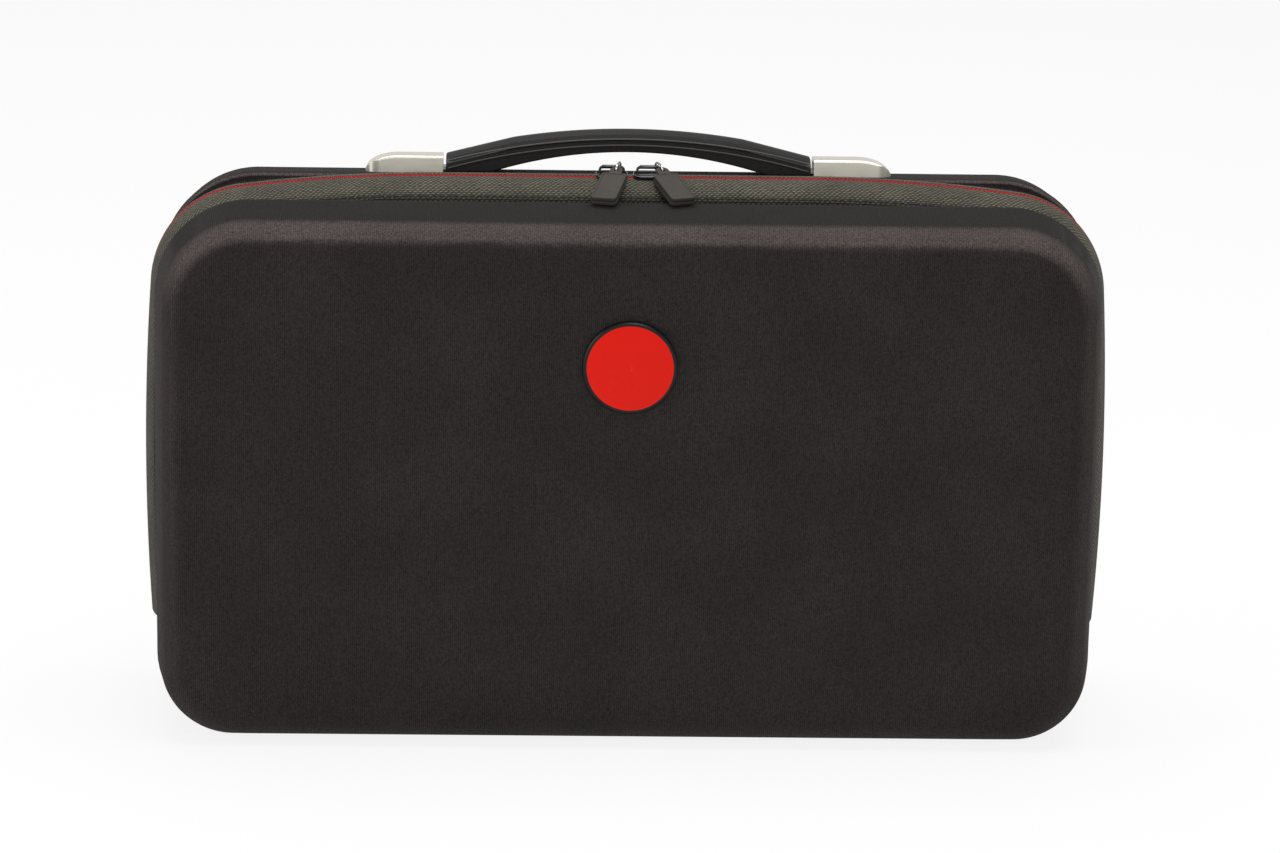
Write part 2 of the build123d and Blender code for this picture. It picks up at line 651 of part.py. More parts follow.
GRIP_END = CAP_MOUTH - GRIP_GAP


def strap_band(grow=0):
    """Side outline of the strap: level tongues and an arch between them."""
    tongue = CAP_MOUTH + CAP_POCKET - STRAP_END_PLAY
    low, high = STRAP_LOW, STRAP_LOW + STRAP_THICKNESS
    with BuildSketch() as band:
        with BuildLine():
            ThreePointArc((-GRIP_END, low), (0, low + STRAP_RISE), (GRIP_END, low))
            Polyline((GRIP_END, low), (tongue, low), (tongue, high), (GRIP_END, high))
            ThreePointArc((GRIP_END, high), (0, high + STRAP_RISE), (-GRIP_END, high))
            Polyline((-GRIP_END, high), (-tongue, high), (-tongue, low), (-GRIP_END, low))
        make_face()
    return band.sketch


with BuildPart() as handle_strap:
    with BuildSketch(HANDLE_SIDE):
        add(strap_band())
    extrude(amount=STRAP_WIDTH / 2, both=True)
    with BuildSketch(HANDLE_SEAT):
        with Locations((-CAP_MOUTH - BOSS_INSET, 0), (CAP_MOUTH + BOSS_INSET, 0)):
            Rectangle(STRAP_SLOT_LENGTH, STRAP_SLOT_WIDTH)
    extrude(amount=CAP_HEIGHT, mode=Mode.SUBTRACT)
finish(handle_strap, "handle_strap")

CROWN_EDGE_MID = GRIP_MID_HIGH - GRIP_CROWN_RISE
CROWN_EDGE_END = GRIP_ARCH_END - GRIP_CROWN_RISE
with BuildPart() as handle_grip:
    with BuildLine(HANDLE_SIDE) as crown_path:
        ThreePointArc((-GRIP_END, CROWN_EDGE_END), (0, CROWN_EDGE_MID), (GRIP_END, CROWN_EDGE_END))
    crown_start = crown_path.wire() @ 0
    crown_heading = crown_path.wire() % 0
    with BuildSketch(Plane(origin=crown_start, x_dir=HANDLE_SEAT.y_dir, z_dir=crown_heading)):
        with BuildLine():
            half, deep = GRIP_WIDTH / 2, -2 * GRIP_MID_LOW
            Polyline((half, 0), (half, deep), (-half, deep), (-half, 0))
            ThreePointArc((-half, 0), (0, GRIP_CROWN_RISE), (half, 0))
        section = make_face()
        fillet(section.vertices().group_by(Axis.Y)[-1], GRIP_CORNER)
    sweep(path=crown_path.wire())
    with BuildSketch(HANDLE_SIDE):
        with BuildLine():
            span, flat = GRIP_END - GRIP_FOOT, GRIP_END - GRIP_FLAT
            flat_rise = GRIP_MID_HIGH - (GRIP_MID_HIGH - GRIP_ARCH_END) * (flat / GRIP_END) ** 2
            ThreePointArc((-span, GRIP_LOW), (0, GRIP_MID_LOW), (span, GRIP_LOW))
            Polyline(
                (span, GRIP_LOW), (GRIP_END, GRIP_LOW), (GRIP_END, GRIP_END_HIGH),
                (flat, flat_rise), (0, 2 * GRIP_MID_HIGH), (-flat, flat_rise),
                (-GRIP_END, GRIP_END_HIGH), (-GRIP_END, GRIP_LOW), (-span, GRIP_LOW),
            )
        make_face()
    extrude(amount=GRIP_WIDTH, both=True, mode=Mode.INTERSECT)
    with BuildSketch(HANDLE_SIDE):
        for middle, end in RIB_HEIGHTS:
            with BuildLine():
                low, high = -RIB_WIDTH / 2, RIB_WIDTH / 2
                under = ThreePointArc(
                    (-GRIP_END, end + low), (0, middle + low), (GRIP_END, end + low)
                )
                over = ThreePointArc(
                    (-GRIP_END, end + high), (0, middle + high), (GRIP_END, end + high)
                )
                Line(under @ 0, over @ 0)
                Line(under @ 1, over @ 1)
            make_face()
    extrude(amount=GRIP_WIDTH / 2 + RIB_PROUD, both=True)
    with BuildSketch(HANDLE_SIDE):
        add(strap_band())
    extrude(amount=STRAP_WIDTH / 2, both=True, mode=Mode.SUBTRACT)
finish(handle_grip, "handle_grip")

with BuildPart() as handle_plates:
    with BuildSketch(HANDLE_SEAT.offset(-LINER_SKIN)):
        with Locations((-PLATE_CENTRE, 0), (PLATE_CENTRE, 0)):
            RectangleRounded(PLATE_LENGTH, PLATE_WIDTH, PLATE_CORNER)
        with Locations(*SCREW_SPOTS):
            Circle(HOLE_RADIUS, mode=Mode.SUBTRACT)
    extrude(amount=-PLATE_THICKNESS)
finish(handle_plates, "handle_plates")

with BuildPart() as handle_screws:
    head_top = -LINER_SKIN - PLATE_THICKNESS
    with BuildSketch(HANDLE_SEAT.offset(head_top)):
        with Locations(*SCREW_SPOTS):
            Circle(SCREW_HEAD_RADIUS)
    extrude(amount=-SCREW_HEAD_HEIGHT)
    with BuildSketch(HANDLE_SEAT.offset(head_top)):
        with Locations(*SCREW_SPOTS):
            Circle(SCREW_RADIUS)
    extrude(amount=SCREW_REACH - head_top)
finish(handle_screws, "handle_screws")


# ============================================================ foam inserts
MIDDLE_Z = RIM_HEIGHT / 2
FLOOR_BACK = FLOOR_DEPTH - STRIP_THICKNESS
BLOCK_BACK = FLOOR_BACK - FLOOR_SHEET
ROUND_INSIDE = FACE_FILLET - LINER
ROUND_INSET = ROUND_INSIDE - math.sqrt(ROUND_INSIDE**2 - (ROUND_INSIDE - STRIP_THICKNESS) ** 2)
INSERT_INSET = SIDE_BOW + LINER + (FLOOR_BACK - BEAD_END) * DRAFT_TAN + ROUND_INSET + INSERT_FIT
INSERT_WIDTH = RIM_WIDTH - 2 * INSERT_INSET
INSERT_HEIGHT = RIM_HEIGHT - 2 * INSERT_INSET
INSERT_CORNER = RIM_CORNER - INSERT_INSET
SLOT_ROWS = int(INSERT_HEIGHT / SLOT_PITCH)
CENTRE_CUT = COLUMN_PITCH / 2
OUTER_WIDTH = INSERT_WIDTH / 2 - CENTRE_CUT
COLUMNS = (
    ("left", -COLUMN_PITCH, -CENTRE_CUT - OUTER_WIDTH / 2, OUTER_WIDTH),
    ("middle", 0, 0, COLUMN_PITCH),
    ("right", COLUMN_PITCH, CENTRE_CUT + OUTER_WIDTH / 2, OUTER_WIDTH),
)


def insert_outline(centre, width):
    """Plan of one insert, cut from the outline that all three fill."""
    with BuildSketch() as outline:
        RectangleRounded(INSERT_WIDTH, INSERT_HEIGHT, INSERT_CORNER)
        with Locations((centre, 0)):
            Rectangle(width - INSERT_GAP, INSERT_HEIGHT, mode=Mode.INTERSECT)
    return outline.sketch


for name, column, centre, width in COLUMNS:
    block_plane = Plane(origin=(0, BLOCK_BACK, MIDDLE_Z), x_dir=(1, 0, 0), z_dir=(0, -1, 0))
    with BuildPart() as block:
        with BuildSketch(block_plane):
            add(insert_outline(centre, width))
            with Locations((column, 0)):
                with GridLocations(0, SLOT_PITCH, 1, SLOT_ROWS):
                    RectangleRounded(SLOT_LENGTH, SLOT_WIDTH, SLOT_CORNER, mode=Mode.SUBTRACT)
        extrude(amount=SLOT_DEPTH)
    finish(block, f"{name}_insert_block")
    with BuildPart() as sheet:
        with BuildSketch(block_plane):
            add(insert_outline(centre, width))
        extrude(amount=-FLOOR_SHEET)
    finish(sheet, f"{name}_insert_floor")

with BuildPart() as hook_strips:
    with BuildSketch(Plane(origin=(0, FLOOR_BACK, MIDDLE_Z), x_dir=(1, 0, 0), z_dir=(0, -1, 0))):
        for _, column, centre, width in COLUMNS:
            with Locations((centre, 0)):
                with GridLocations(STRIP_SPACING, 0, 2, 1):
                    Rectangle(STRIP_WIDTH, STRIP_LENGTH)
    extrude(amount=-STRIP_THICKNESS)
finish(hook_strips, "hook_strips")


# ============================================================ net pocket
NET_INSET = LINER + (NET_DEPTH + NET_WALL + HEM_WALL - BEAD_END) * DRAFT_TAN + NET_CLEARANCE


def net_outline(low, high):
    """Face across the lid's room between two heights."""
    with BuildSketch() as outline:
        add(bead_outline(NET_INSET))
        with Locations((0, low)):
            Rectangle(
                RIM_WIDTH, high - low, align=(Align.CENTER, Align.MIN), mode=Mode.INTERSECT
            )
    return outline.sketch


with BuildPart() as pocket_net:
    with BuildSketch(face_plane(FRONT, NET_DEPTH)):
        add(net_outline(0, NET_TOP))
    extrude(amount=NET_WALL)
finish(pocket_net, "pocket_net")

HEM_OVERLAP = (HEM_WALL - NET_WALL) / 2
with BuildPart() as pocket_hem:
    with BuildSketch(face_plane(FRONT, NET_DEPTH - HEM_OVERLAP)):
        add(net_outline(NET_TOP - HEM_WIDTH, NET_TOP + HEM_OVERLAP))
    extrude(amount=HEM_WALL)
    add(pocket_net.part, mode=Mode.SUBTRACT)
finish(pocket_hem, "pocket_hem")
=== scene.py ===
"""A zip-closed moulded case for harmonicas, dressed and lit for display.

Every size is in metres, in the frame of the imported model: X along the case, +Y to
the back of the base, +Z up, and the lid facing -Y.
"""

import logging
import math
from dataclasses import dataclass
from enum import Enum
from functools import cached_property
from typing import Callable, Iterable, Sequence

import bmesh
import bpy
from bpy.types import Material, Mesh, NodeSocket, Object, ShaderNode
from mathutils import Matrix, Vector, noise


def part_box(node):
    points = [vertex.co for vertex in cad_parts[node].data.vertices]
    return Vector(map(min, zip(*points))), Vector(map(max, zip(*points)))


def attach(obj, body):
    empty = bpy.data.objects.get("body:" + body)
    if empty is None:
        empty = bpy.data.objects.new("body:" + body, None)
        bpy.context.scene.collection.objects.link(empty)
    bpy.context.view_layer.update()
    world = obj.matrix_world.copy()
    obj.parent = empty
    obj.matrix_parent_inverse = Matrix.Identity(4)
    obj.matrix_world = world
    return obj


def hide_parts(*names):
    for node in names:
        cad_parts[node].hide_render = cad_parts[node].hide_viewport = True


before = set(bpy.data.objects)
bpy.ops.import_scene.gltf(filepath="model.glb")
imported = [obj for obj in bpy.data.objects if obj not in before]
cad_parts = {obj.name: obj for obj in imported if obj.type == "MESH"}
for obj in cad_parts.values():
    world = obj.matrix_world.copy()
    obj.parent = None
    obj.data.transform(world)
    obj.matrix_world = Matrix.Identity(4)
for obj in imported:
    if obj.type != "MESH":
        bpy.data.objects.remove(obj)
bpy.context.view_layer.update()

MM = 0.001
JOIN = 1e-6      # vertices closer than this are one
LEVEL = 1e-7     # heights closer than this are the same
PLACES = 6       # decimals that a worked-out radius (m) or angle (degrees) is rounded to
Colour = tuple[float, float, float]
Number = NodeSocket | float
log = logging.getLogger("case")


class Body(Enum):
    """The bodies that the pieces ride on."""

    BASE = "base"
    LID = "lid"
    HANDLE = "handle"
    SLIDER_LEFT = "slider_left"
    SLIDER_RIGHT = "slider_right"
    LINK_LEFT = "link_left"
    LINK_RIGHT = "link_right"
    TAB_LEFT = "tab_left"
    TAB_RIGHT = "tab_right"


class Half(Enum):
    """The two halves of the case, by the sign of their Y."""

    BASE = 1
    LID = -1

    @property
    def body(self) -> Body:
        """The body that this half's pieces ride on."""
        return Body.BASE if self is Half.BASE else Body.LID

    @property
    def word(self) -> str:
        """The half's name as the nodes write it."""
        return self.body.value


class Hand(Enum):
    """Left and right, by the sign of X."""

    LEFT = -1
    RIGHT = 1

    @property
    def word(self) -> str:
        """The hand's name as the nodes write it."""
        return self.name.lower()


# --------------------------------------------------------------------- finishes
class Weave:
    """One material's nodes, with short calls to add and join them."""

    def __init__(self, name: str) -> None:
        """Start a material with a shader and an output.

        Args:
            name: The material's name.
        """
        self.material: Material = bpy.data.materials.new(name)
        self.material.use_nodes = True
        self.nodes = self.material.node_tree.nodes
        self.links = self.material.node_tree.links
        self.nodes.clear()
        self.out = self.nodes.new("ShaderNodeOutputMaterial")
        self.shader = self.nodes.new("ShaderNodeBsdfPrincipled")
        self.links.new(self.shader.outputs["BSDF"], self.out.inputs["Surface"])

    def add(self, kind: str, **settings: object) -> ShaderNode:
        """Add a node and set its properties.

        Args:
            kind: The node's type without its "ShaderNode" prefix.
            settings: Properties of the node.

        Returns:
            The new node.
        """
        node = self.nodes.new("ShaderNode" + kind)
        for key, value in settings.items():
            setattr(node, key, value)
        return node

    def feed(self, value: NodeSocket | float | Sequence[float], target: NodeSocket) -> None:
        """Join a socket to an input, or write a plain value there.

        Args:
            value: An output socket or a constant.
            target: The input that takes it.
        """
        if isinstance(value, NodeSocket):
            self.links.new(value, target)
        else:
            target.default_value = value

    def math(self, operation: str, *values: Number) -> NodeSocket:
        """Work out one step of arithmetic.

        Args:
            operation: The Math node's operation.
            values: Its inputs, in order.

        Returns:
            The result's socket.
        """
        node = self.add("Math", operation=operation)
        for value, target in zip(values, node.inputs):
            self.feed(value, target)
        return node.outputs[0]

    def spread(self, value: NodeSocket, low: float, high: float, start: float, end: float) -> NodeSocket:
        """Map a range onto another, clamped and smooth.

        Args:
            value: The socket to map.
            low: The value that gives start.
            high: The value that gives end.
            start: The result at low.
            end: The result at high.

        Returns:
            The mapped socket.
        """
        node = self.add("MapRange", interpolation_type="SMOOTHSTEP")
        for key, item in zip(("Value", "From Min", "From Max", "To Min", "To Max"),
                             (value, low, high, start, end)):
            self.feed(item, node.inputs[key])
        return node.outputs[0]

    def mix(self, amount: Number, first: Number, second: Number) -> NodeSocket:
        """Blend two numbers.

        Args:
            amount: 0 for the first, 1 for the second.
            first: The first number.
            second: The second number.

        Returns:
            The blend's socket.
        """
        node = self.add("Mix", data_type="FLOAT")
        for index, value in zip((0, 2, 3), (amount, first, second)):
            self.feed(value, node.inputs[index])
        return node.outputs[0]

    def tint(self, amount: Number, first: Colour | NodeSocket, second: Colour | NodeSocket) -> NodeSocket:
        """Blend two colours.

        Args:
            amount: 0 for the first, 1 for the second.
            first: A colour or a colour socket.
            second: A colour or a colour socket.

        Returns:
            The blended colour's socket.
        """
        node = self.add("Mix", data_type="RGBA")
        self.feed(amount, node.inputs[0])
        for index, value in zip((6, 7), (first, second)):
            self.feed(value if isinstance(value, NodeSocket) else (*value, 1.0), node.inputs[index])
        return node.outputs[2]

    def noise(self, place: NodeSocket, scale: float, detail: float = 2.0, rough: float = 0.5) -> NodeSocket:
        """Add cloudy noise.

        Args:
            place: The coordinates.
            scale: Features per metre.
            detail: Octaves.
            rough: How strong the fine octaves are.

        Returns:
            The noise's value, about 0.5 on average.
        """
        node = self.add("TexNoise")
        self.feed(place, node.inputs["Vector"])
        for key, value in (("Scale", scale), ("Detail", detail), ("Roughness", rough)):
            node.inputs[key].default_value = value
        return node.outputs["Fac"]

    def place(self) -> NodeSocket:
        """Coordinates of the point on the piece, in metres."""
        return self.add("TexCoord").outputs["Object"]

    def axes(self, vector: NodeSocket) -> tuple[NodeSocket, NodeSocket, NodeSocket]:
        """Split a vector.

        Args:
            vector: The vector's socket.

        Returns:
            Its three parts.
        """
        node = self.add("SeparateXYZ")
        self.feed(vector, node.inputs[0])
        return node.outputs[0], node.outputs[1], node.outputs[2]

    def facing(self) -> tuple[NodeSocket, NodeSocket, NodeSocket]:
        """How far the surface faces along each axis, without its sign."""
        normal = self.add("TexCoord").outputs["Normal"]
        return tuple(self.math("ABSOLUTE", part) for part in self.axes(normal))

    def relief(self, height: NodeSocket, depth: float, strength: float = 1.0) -> None:
        """Raise a height over the surface.

        Args:
            height: The height, 0 to 1.
            depth: How deep 1 is, in metres.
            strength: The bump's strength.
        """
        node = self.add("Bump")
        node.inputs["Strength"].default_value = strength
        node.inputs["Distance"].default_value = depth
        self.feed(height, node.inputs["Height"])
        self.feed(node.outputs["Normal"], self.shader.inputs["Normal"])

    def finish(self, **sockets: object) -> Material:
        """Set the shader's own sockets.

        Args:
            sockets: Values by the socket's name, with _ for a space.

        Returns:
            The finished material.
        """
        for key, value in sockets.items():
            name = key.replace("_", " ")
            if isinstance(value, tuple) and len(value) == 3:
                value = (*value, 1.0)
            self.feed(value, self.shader.inputs[name])
        return self.material


@dataclass(frozen=True)
class ShellCloth:
    """Ribbed twill that is bonded to a moulded foam shell, with a painted highlight on its rounded edges and
    painted shade on its walls.
    """

    name: str = "shell cloth"
    valley: Colour = (0.0060, 0.0050, 0.0048)
    crest: Colour = (0.0440, 0.0368, 0.0352)
    # colours of the painted highlight on the shell's rounded edges
    painted_highlight_valley: Colour = (0.0200, 0.0162, 0.0154)
    painted_highlight_crest: Colour = (0.1580, 0.1270, 0.1200)
    rib: float = 0.84 * MM
    row: float = 0.62 * MM

    def build(self) -> Material:
        """Make the material: ribs that run up the face and over the walls."""
        w = Weave(self.name)
        spot = w.place()
        x, y, z = w.axes(spot)
        side, front, top = w.facing()
        _, _, up = w.axes(w.add("TexCoord").outputs["Normal"])
        # painted highlight: the rounded edges between the face and the walls get a lighter colour, strongest
        # along the top and weak on the sides and bottom, where the lamps catch them
        drawn = w.math("MULTIPLY", w.spread(front, 0.16, 0.70, 0.0, 1.0),
                       w.spread(front, 0.86, 0.999, 1.0, 0.0))
        drawn = w.math("MULTIPLY", drawn, w.spread(up, -0.15, 0.50, 0.06, 0.85))
        # painted shade: the shell's walls are darkened to three tenths of the face's tone, less so up the
        # rounded edges
        painted_wall_shade = w.spread(front, 0.14, 0.45, 0.3, 1.0)
        on_side = w.spread(side, 0.55, 0.85, 0.0, 1.0)
        on_top = w.spread(top, 0.55, 0.85, 0.0, 1.0)
        across = w.math("DIVIDE", w.mix(on_side, x, y), self.rib)
        along = w.math("DIVIDE", w.mix(on_top, z, y), self.row)
        cord = w.math("SINE", w.math("MULTIPLY", w.math("FRACT", across), math.pi))
        lag = w.math("MULTIPLY", w.math("FLOOR", across), 0.5)
        pick = w.math("SINE", w.math("MULTIPLY", w.math("ADD", along, lag), math.tau))
        thread = w.math("MULTIPLY", cord, w.math("MULTIPLY_ADD", pick, 0.22, 0.78))
        fuzz = w.spread(w.noise(spot, 1250.0, 4.0, 0.8), 0.32, 0.68, 0.0, 1.0)
        cloud = w.noise(spot, 22.0, 3.0, 0.55)
        shade = w.math("ADD", w.math("MULTIPLY", thread, 0.42), w.math("MULTIPLY", fuzz, 0.58))
        shade = w.math("MULTIPLY", shade, w.math("MULTIPLY", painted_wall_shade, w.spread(cloud, 0.3, 0.7, 0.86, 1.12)))
        w.relief(w.math("MULTIPLY_ADD", fuzz, 0.35, thread), 0.00022, 0.7)
        # plain is the cloth's own colour; light is the colour of the painted highlight
        plain = w.tint(shade, self.valley, self.crest)
        light = w.tint(shade, self.painted_highlight_valley, self.painted_highlight_crest)
        return w.finish(Base_Color=w.tint(drawn, plain, light), Roughness=0.8,
                        Sheen_Weight=0.08, Sheen_Roughness=0.4, Sheen_Tint=(0.9, 0.82, 0.8),
                        Specular_IOR_Level=0.12)


@dataclass(frozen=True)
class TapeCloth:
    """Woven zip tape. Its pattern follows the tape's own length and width."""

    name: str = "zip tape front"
    dark: Colour = (0.0040, 0.0036, 0.0028)
    light: Colour = (0.235, 0.212, 0.156)
    cord: float = 2.1 * MM
    slant: float = 0.9

    def build(self) -> Material:
        """Make the material: slanting cords cut into picks."""
        w = Weave(self.name)
        along, across, _ = w.axes(w.add("UVMap", uv_map="weave").outputs["UV"])
        line = w.math("DIVIDE", w.math("MULTIPLY_ADD", across, self.slant, along), self.cord)
        cord = w.math("SINE", w.math("MULTIPLY", w.math("FRACT", line), math.pi))
        pick = w.math("SINE", w.math("MULTIPLY", w.math("DIVIDE", across, self.cord * 0.55), math.tau))
        fuzz = w.spread(w.noise(w.place(), 1100.0, 3.0, 0.7), 0.3, 0.7, 0.0, 1.0)
        cloud = w.noise(w.place(), 60.0)
        thread = w.math("MULTIPLY", cord, w.math("MULTIPLY_ADD", pick, 0.45, 0.55))
        shade = w.math("MULTIPLY_ADD", fuzz, 0.30, w.math("MULTIPLY", w.math("POWER", thread, 2.4), 0.85))
        shade = w.math("MULTIPLY", shade, w.spread(cloud, 0.3, 0.7, 0.85, 1.1))
        # painted shade along both edges of the tape: down to a quarter by the coil, and to about a third
        # where the tape meets the shell
        edge = w.math("MULTIPLY", w.spread(across, 0.0012, 0.0026, 0.25, 1.0),
                      w.spread(across, 0.0135, 0.0195, 1.0, 0.35))
        shade = w.math("MULTIPLY", shade, edge)
        w.relief(thread, 0.00045, 1.0)
        return w.finish(Base_Color=w.tint(shade, self.dark, self.light), Roughness=0.85,
                        Sheen_Weight=0.1, Sheen_Roughness=0.4, Specular_IOR_Level=0.15)


@dataclass(frozen=True)
class TrimCloth:
    """Plain black binding, webbing or thread with ribs across the case."""

    name: str = "trim cloth"
    dark: Colour = (0.008, 0.0075, 0.007)
    light: Colour = (0.034, 0.031, 0.029)
    rib: float = 1.3 * MM

    def build(self) -> Material:
        """Make the material: ribs with a fine fuzz."""
        w = Weave(self.name)
        spot = w.place()
        x, y, z = w.axes(spot)
        side, _, _ = w.facing()
        run = w.math("DIVIDE", w.mix(w.spread(side, 0.5, 0.8, 0.0, 1.0), x, z), self.rib)
        rib = w.math("SINE", w.math("MULTIPLY", w.math("FRACT", run), math.pi))
        fuzz = w.noise(spot, 2200.0, 3.0, 0.6)
        w.relief(rib, 0.0003, 0.8)
        shade = w.math("MULTIPLY_ADD", fuzz, 0.5, w.math("MULTIPLY", rib, 0.5))
        return w.finish(Base_Color=w.tint(shade, self.dark, self.light), Roughness=0.9,
                        Sheen_Weight=0.2, Specular_IOR_Level=0.2)


@dataclass(frozen=True)
class Napped:
    """Soft faces without a weave: brushed lining, flocked foam, hook strip."""

    name: str = "lining"
    dark: Colour = (0.008, 0.008, 0.009)
    light: Colour = (0.040, 0.039, 0.041)
    grain: float = 1800.0
    depth: float = 0.15 * MM
    sheen: float = 0.5

    def build(self) -> Material:
        """Make the material: a short nap with soft clouds in it."""
        w = Weave(self.name)
        spot = w.place()
        nap = w.noise(spot, self.grain, 4.0, 0.65)
        cloud = w.noise(spot, 30.0, 2.0)
        shade = w.math("MULTIPLY", nap, w.spread(cloud, 0.3, 0.7, 0.8, 1.15))
        w.relief(nap, self.depth, 0.8)
        return w.finish(Base_Color=w.tint(shade, self.dark, self.light), Roughness=0.95,
                        Sheen_Weight=self.sheen, Sheen_Roughness=0.5, Specular_IOR_Level=0.15)


@dataclass(frozen=True)
class NetCloth:
    """Knotted net: threads on the slant with open diamonds between them."""

    name: str = "net"
    thread: Colour = (0.045, 0.044, 0.043)
    mesh: float = 3.2 * MM
    share: float = 0.30

    def build(self) -> Material:
        """Make the material: see-through but for two sets of threads."""
        w = Weave(self.name)
        x, _, z = w.axes(w.place())
        lines = []
        for operation in ("ADD", "SUBTRACT"):
            turn = w.math("FRACT", w.math("DIVIDE", w.math(operation, x, z), self.mesh))
            lines.append(w.math("ABSOLUTE", w.math("SUBTRACT", turn, 0.5)))
        strand = w.math("MAXIMUM", *lines)
        edge = 0.5 - self.share / 2
        fuzz = w.noise(w.place(), 2400.0, 3.0, 0.6)
        w.relief(strand, 0.0003, 0.8)
        dark = tuple(part * 0.6 for part in self.thread)
        return w.finish(Base_Color=w.tint(fuzz, dark, self.thread), Roughness=0.8,
                        Alpha=w.spread(strand, edge - 0.02, edge + 0.02, 0.0, 1.0), Specular_IOR_Level=0.2)


@dataclass(frozen=True)
class Moulded:
    """Plastic, rubber or enamel: a plain colour with grain and a slow change of gloss."""

    name: str
    colour: Colour
    rough: float = 0.45
    grain: float = 1500.0
    depth: float = 0.03 * MM
    coat: float = 0.0
    shine: float = 0.5
    vary: float = 0.12

    def build(self) -> Material:
        """Make the material: grain in the surface and a slow change of gloss."""
        w = Weave(self.name)
        spot = w.place()
        grain = w.noise(spot, self.grain, 3.0, 0.6)
        cloud = w.noise(spot, 90.0, 3.0, 0.6)
        low = tuple(part * (1.0 - self.vary) for part in self.colour)
        high = tuple(min(1.0, part * (1.0 + self.vary)) for part in self.colour)
        w.relief(grain, self.depth, 0.6)
        gloss = w.spread(cloud, 0.3, 0.7, self.rough * 0.88, min(1.0, self.rough * 1.14))
        return w.finish(Base_Color=w.tint(grain, low, high), Roughness=gloss, Coat_Weight=self.coat,
                        Coat_Roughness=0.04, Specular_IOR_Level=self.shine)


@dataclass(frozen=True)
class Metal:
    """Bare or lacquered metal with fine brushing or flakes."""

    name: str
    colour: Colour
    rough: float = 0.25
    stretch: tuple[float, float, float] = (1.0, 1.0, 1.0)
    grain: float = 2200.0
    depth: float = 0.01 * MM
    metallic: float = 1.0
    coat: float = 0.0

    def build(self) -> Material:
        """Make the material: grain drawn out along the brushing."""
        w = Weave(self.name)
        turn = w.add("Mapping")
        turn.inputs["Scale"].default_value = self.stretch
        w.feed(w.place(), turn.inputs["Vector"])
        grain = w.noise(turn.outputs[0], self.grain, 3.0, 0.6)
        cloud = w.noise(w.place(), 120.0, 2.0)
        low = tuple(part * 0.9 for part in self.colour)
        w.relief(grain, self.depth, 0.5)
        gloss = w.spread(w.math("MULTIPLY_ADD", cloud, 0.5, w.math("MULTIPLY", grain, 0.5)), 0.3, 0.7,
                         self.rough * 0.8, self.rough * 1.25)
        return w.finish(Base_Color=w.tint(grain, low, self.colour), Metallic=self.metallic,
                        Roughness=gloss, Coat_Weight=self.coat, Coat_Roughness=0.08)


@dataclass(frozen=True)
class GripRubber:
    """Grip moulding: a smooth crown, and pebbled sides between the ribs."""

    name: str = "grip rubber"
    colour: Colour = (0.0125, 0.0112, 0.0110)
    pebble: float = 1300.0

    def build(self) -> Material:
        """Make the material: pebbles only where the surface faces sideways."""
        w = Weave(self.name)
        spot = w.place()
        _, side, _ = w.facing()
        cells = w.add("TexVoronoi", feature="SMOOTH_F1")
        cells.inputs["Scale"].default_value = self.pebble
        w.feed(spot, cells.inputs["Vector"])
        on_side = w.spread(side, 0.45, 0.8, 0.0, 1.0)
        pebble = w.math("MULTIPLY", w.math("SUBTRACT", 1.0, cells.outputs["Distance"]), on_side)
        fine = w.noise(spot, 3000.0, 2.0)
        w.relief(w.math("MULTIPLY_ADD", fine, 0.12, pebble), 0.00012, 0.7)
        low = tuple(part * 0.8 for part in self.colour)
        high = tuple(part * 1.35 for part in self.colour)
        return w.finish(Base_Color=w.tint(pebble, low, high), Roughness=w.mix(on_side, 0.42, 0.7),
                        Specular_IOR_Level=0.3)


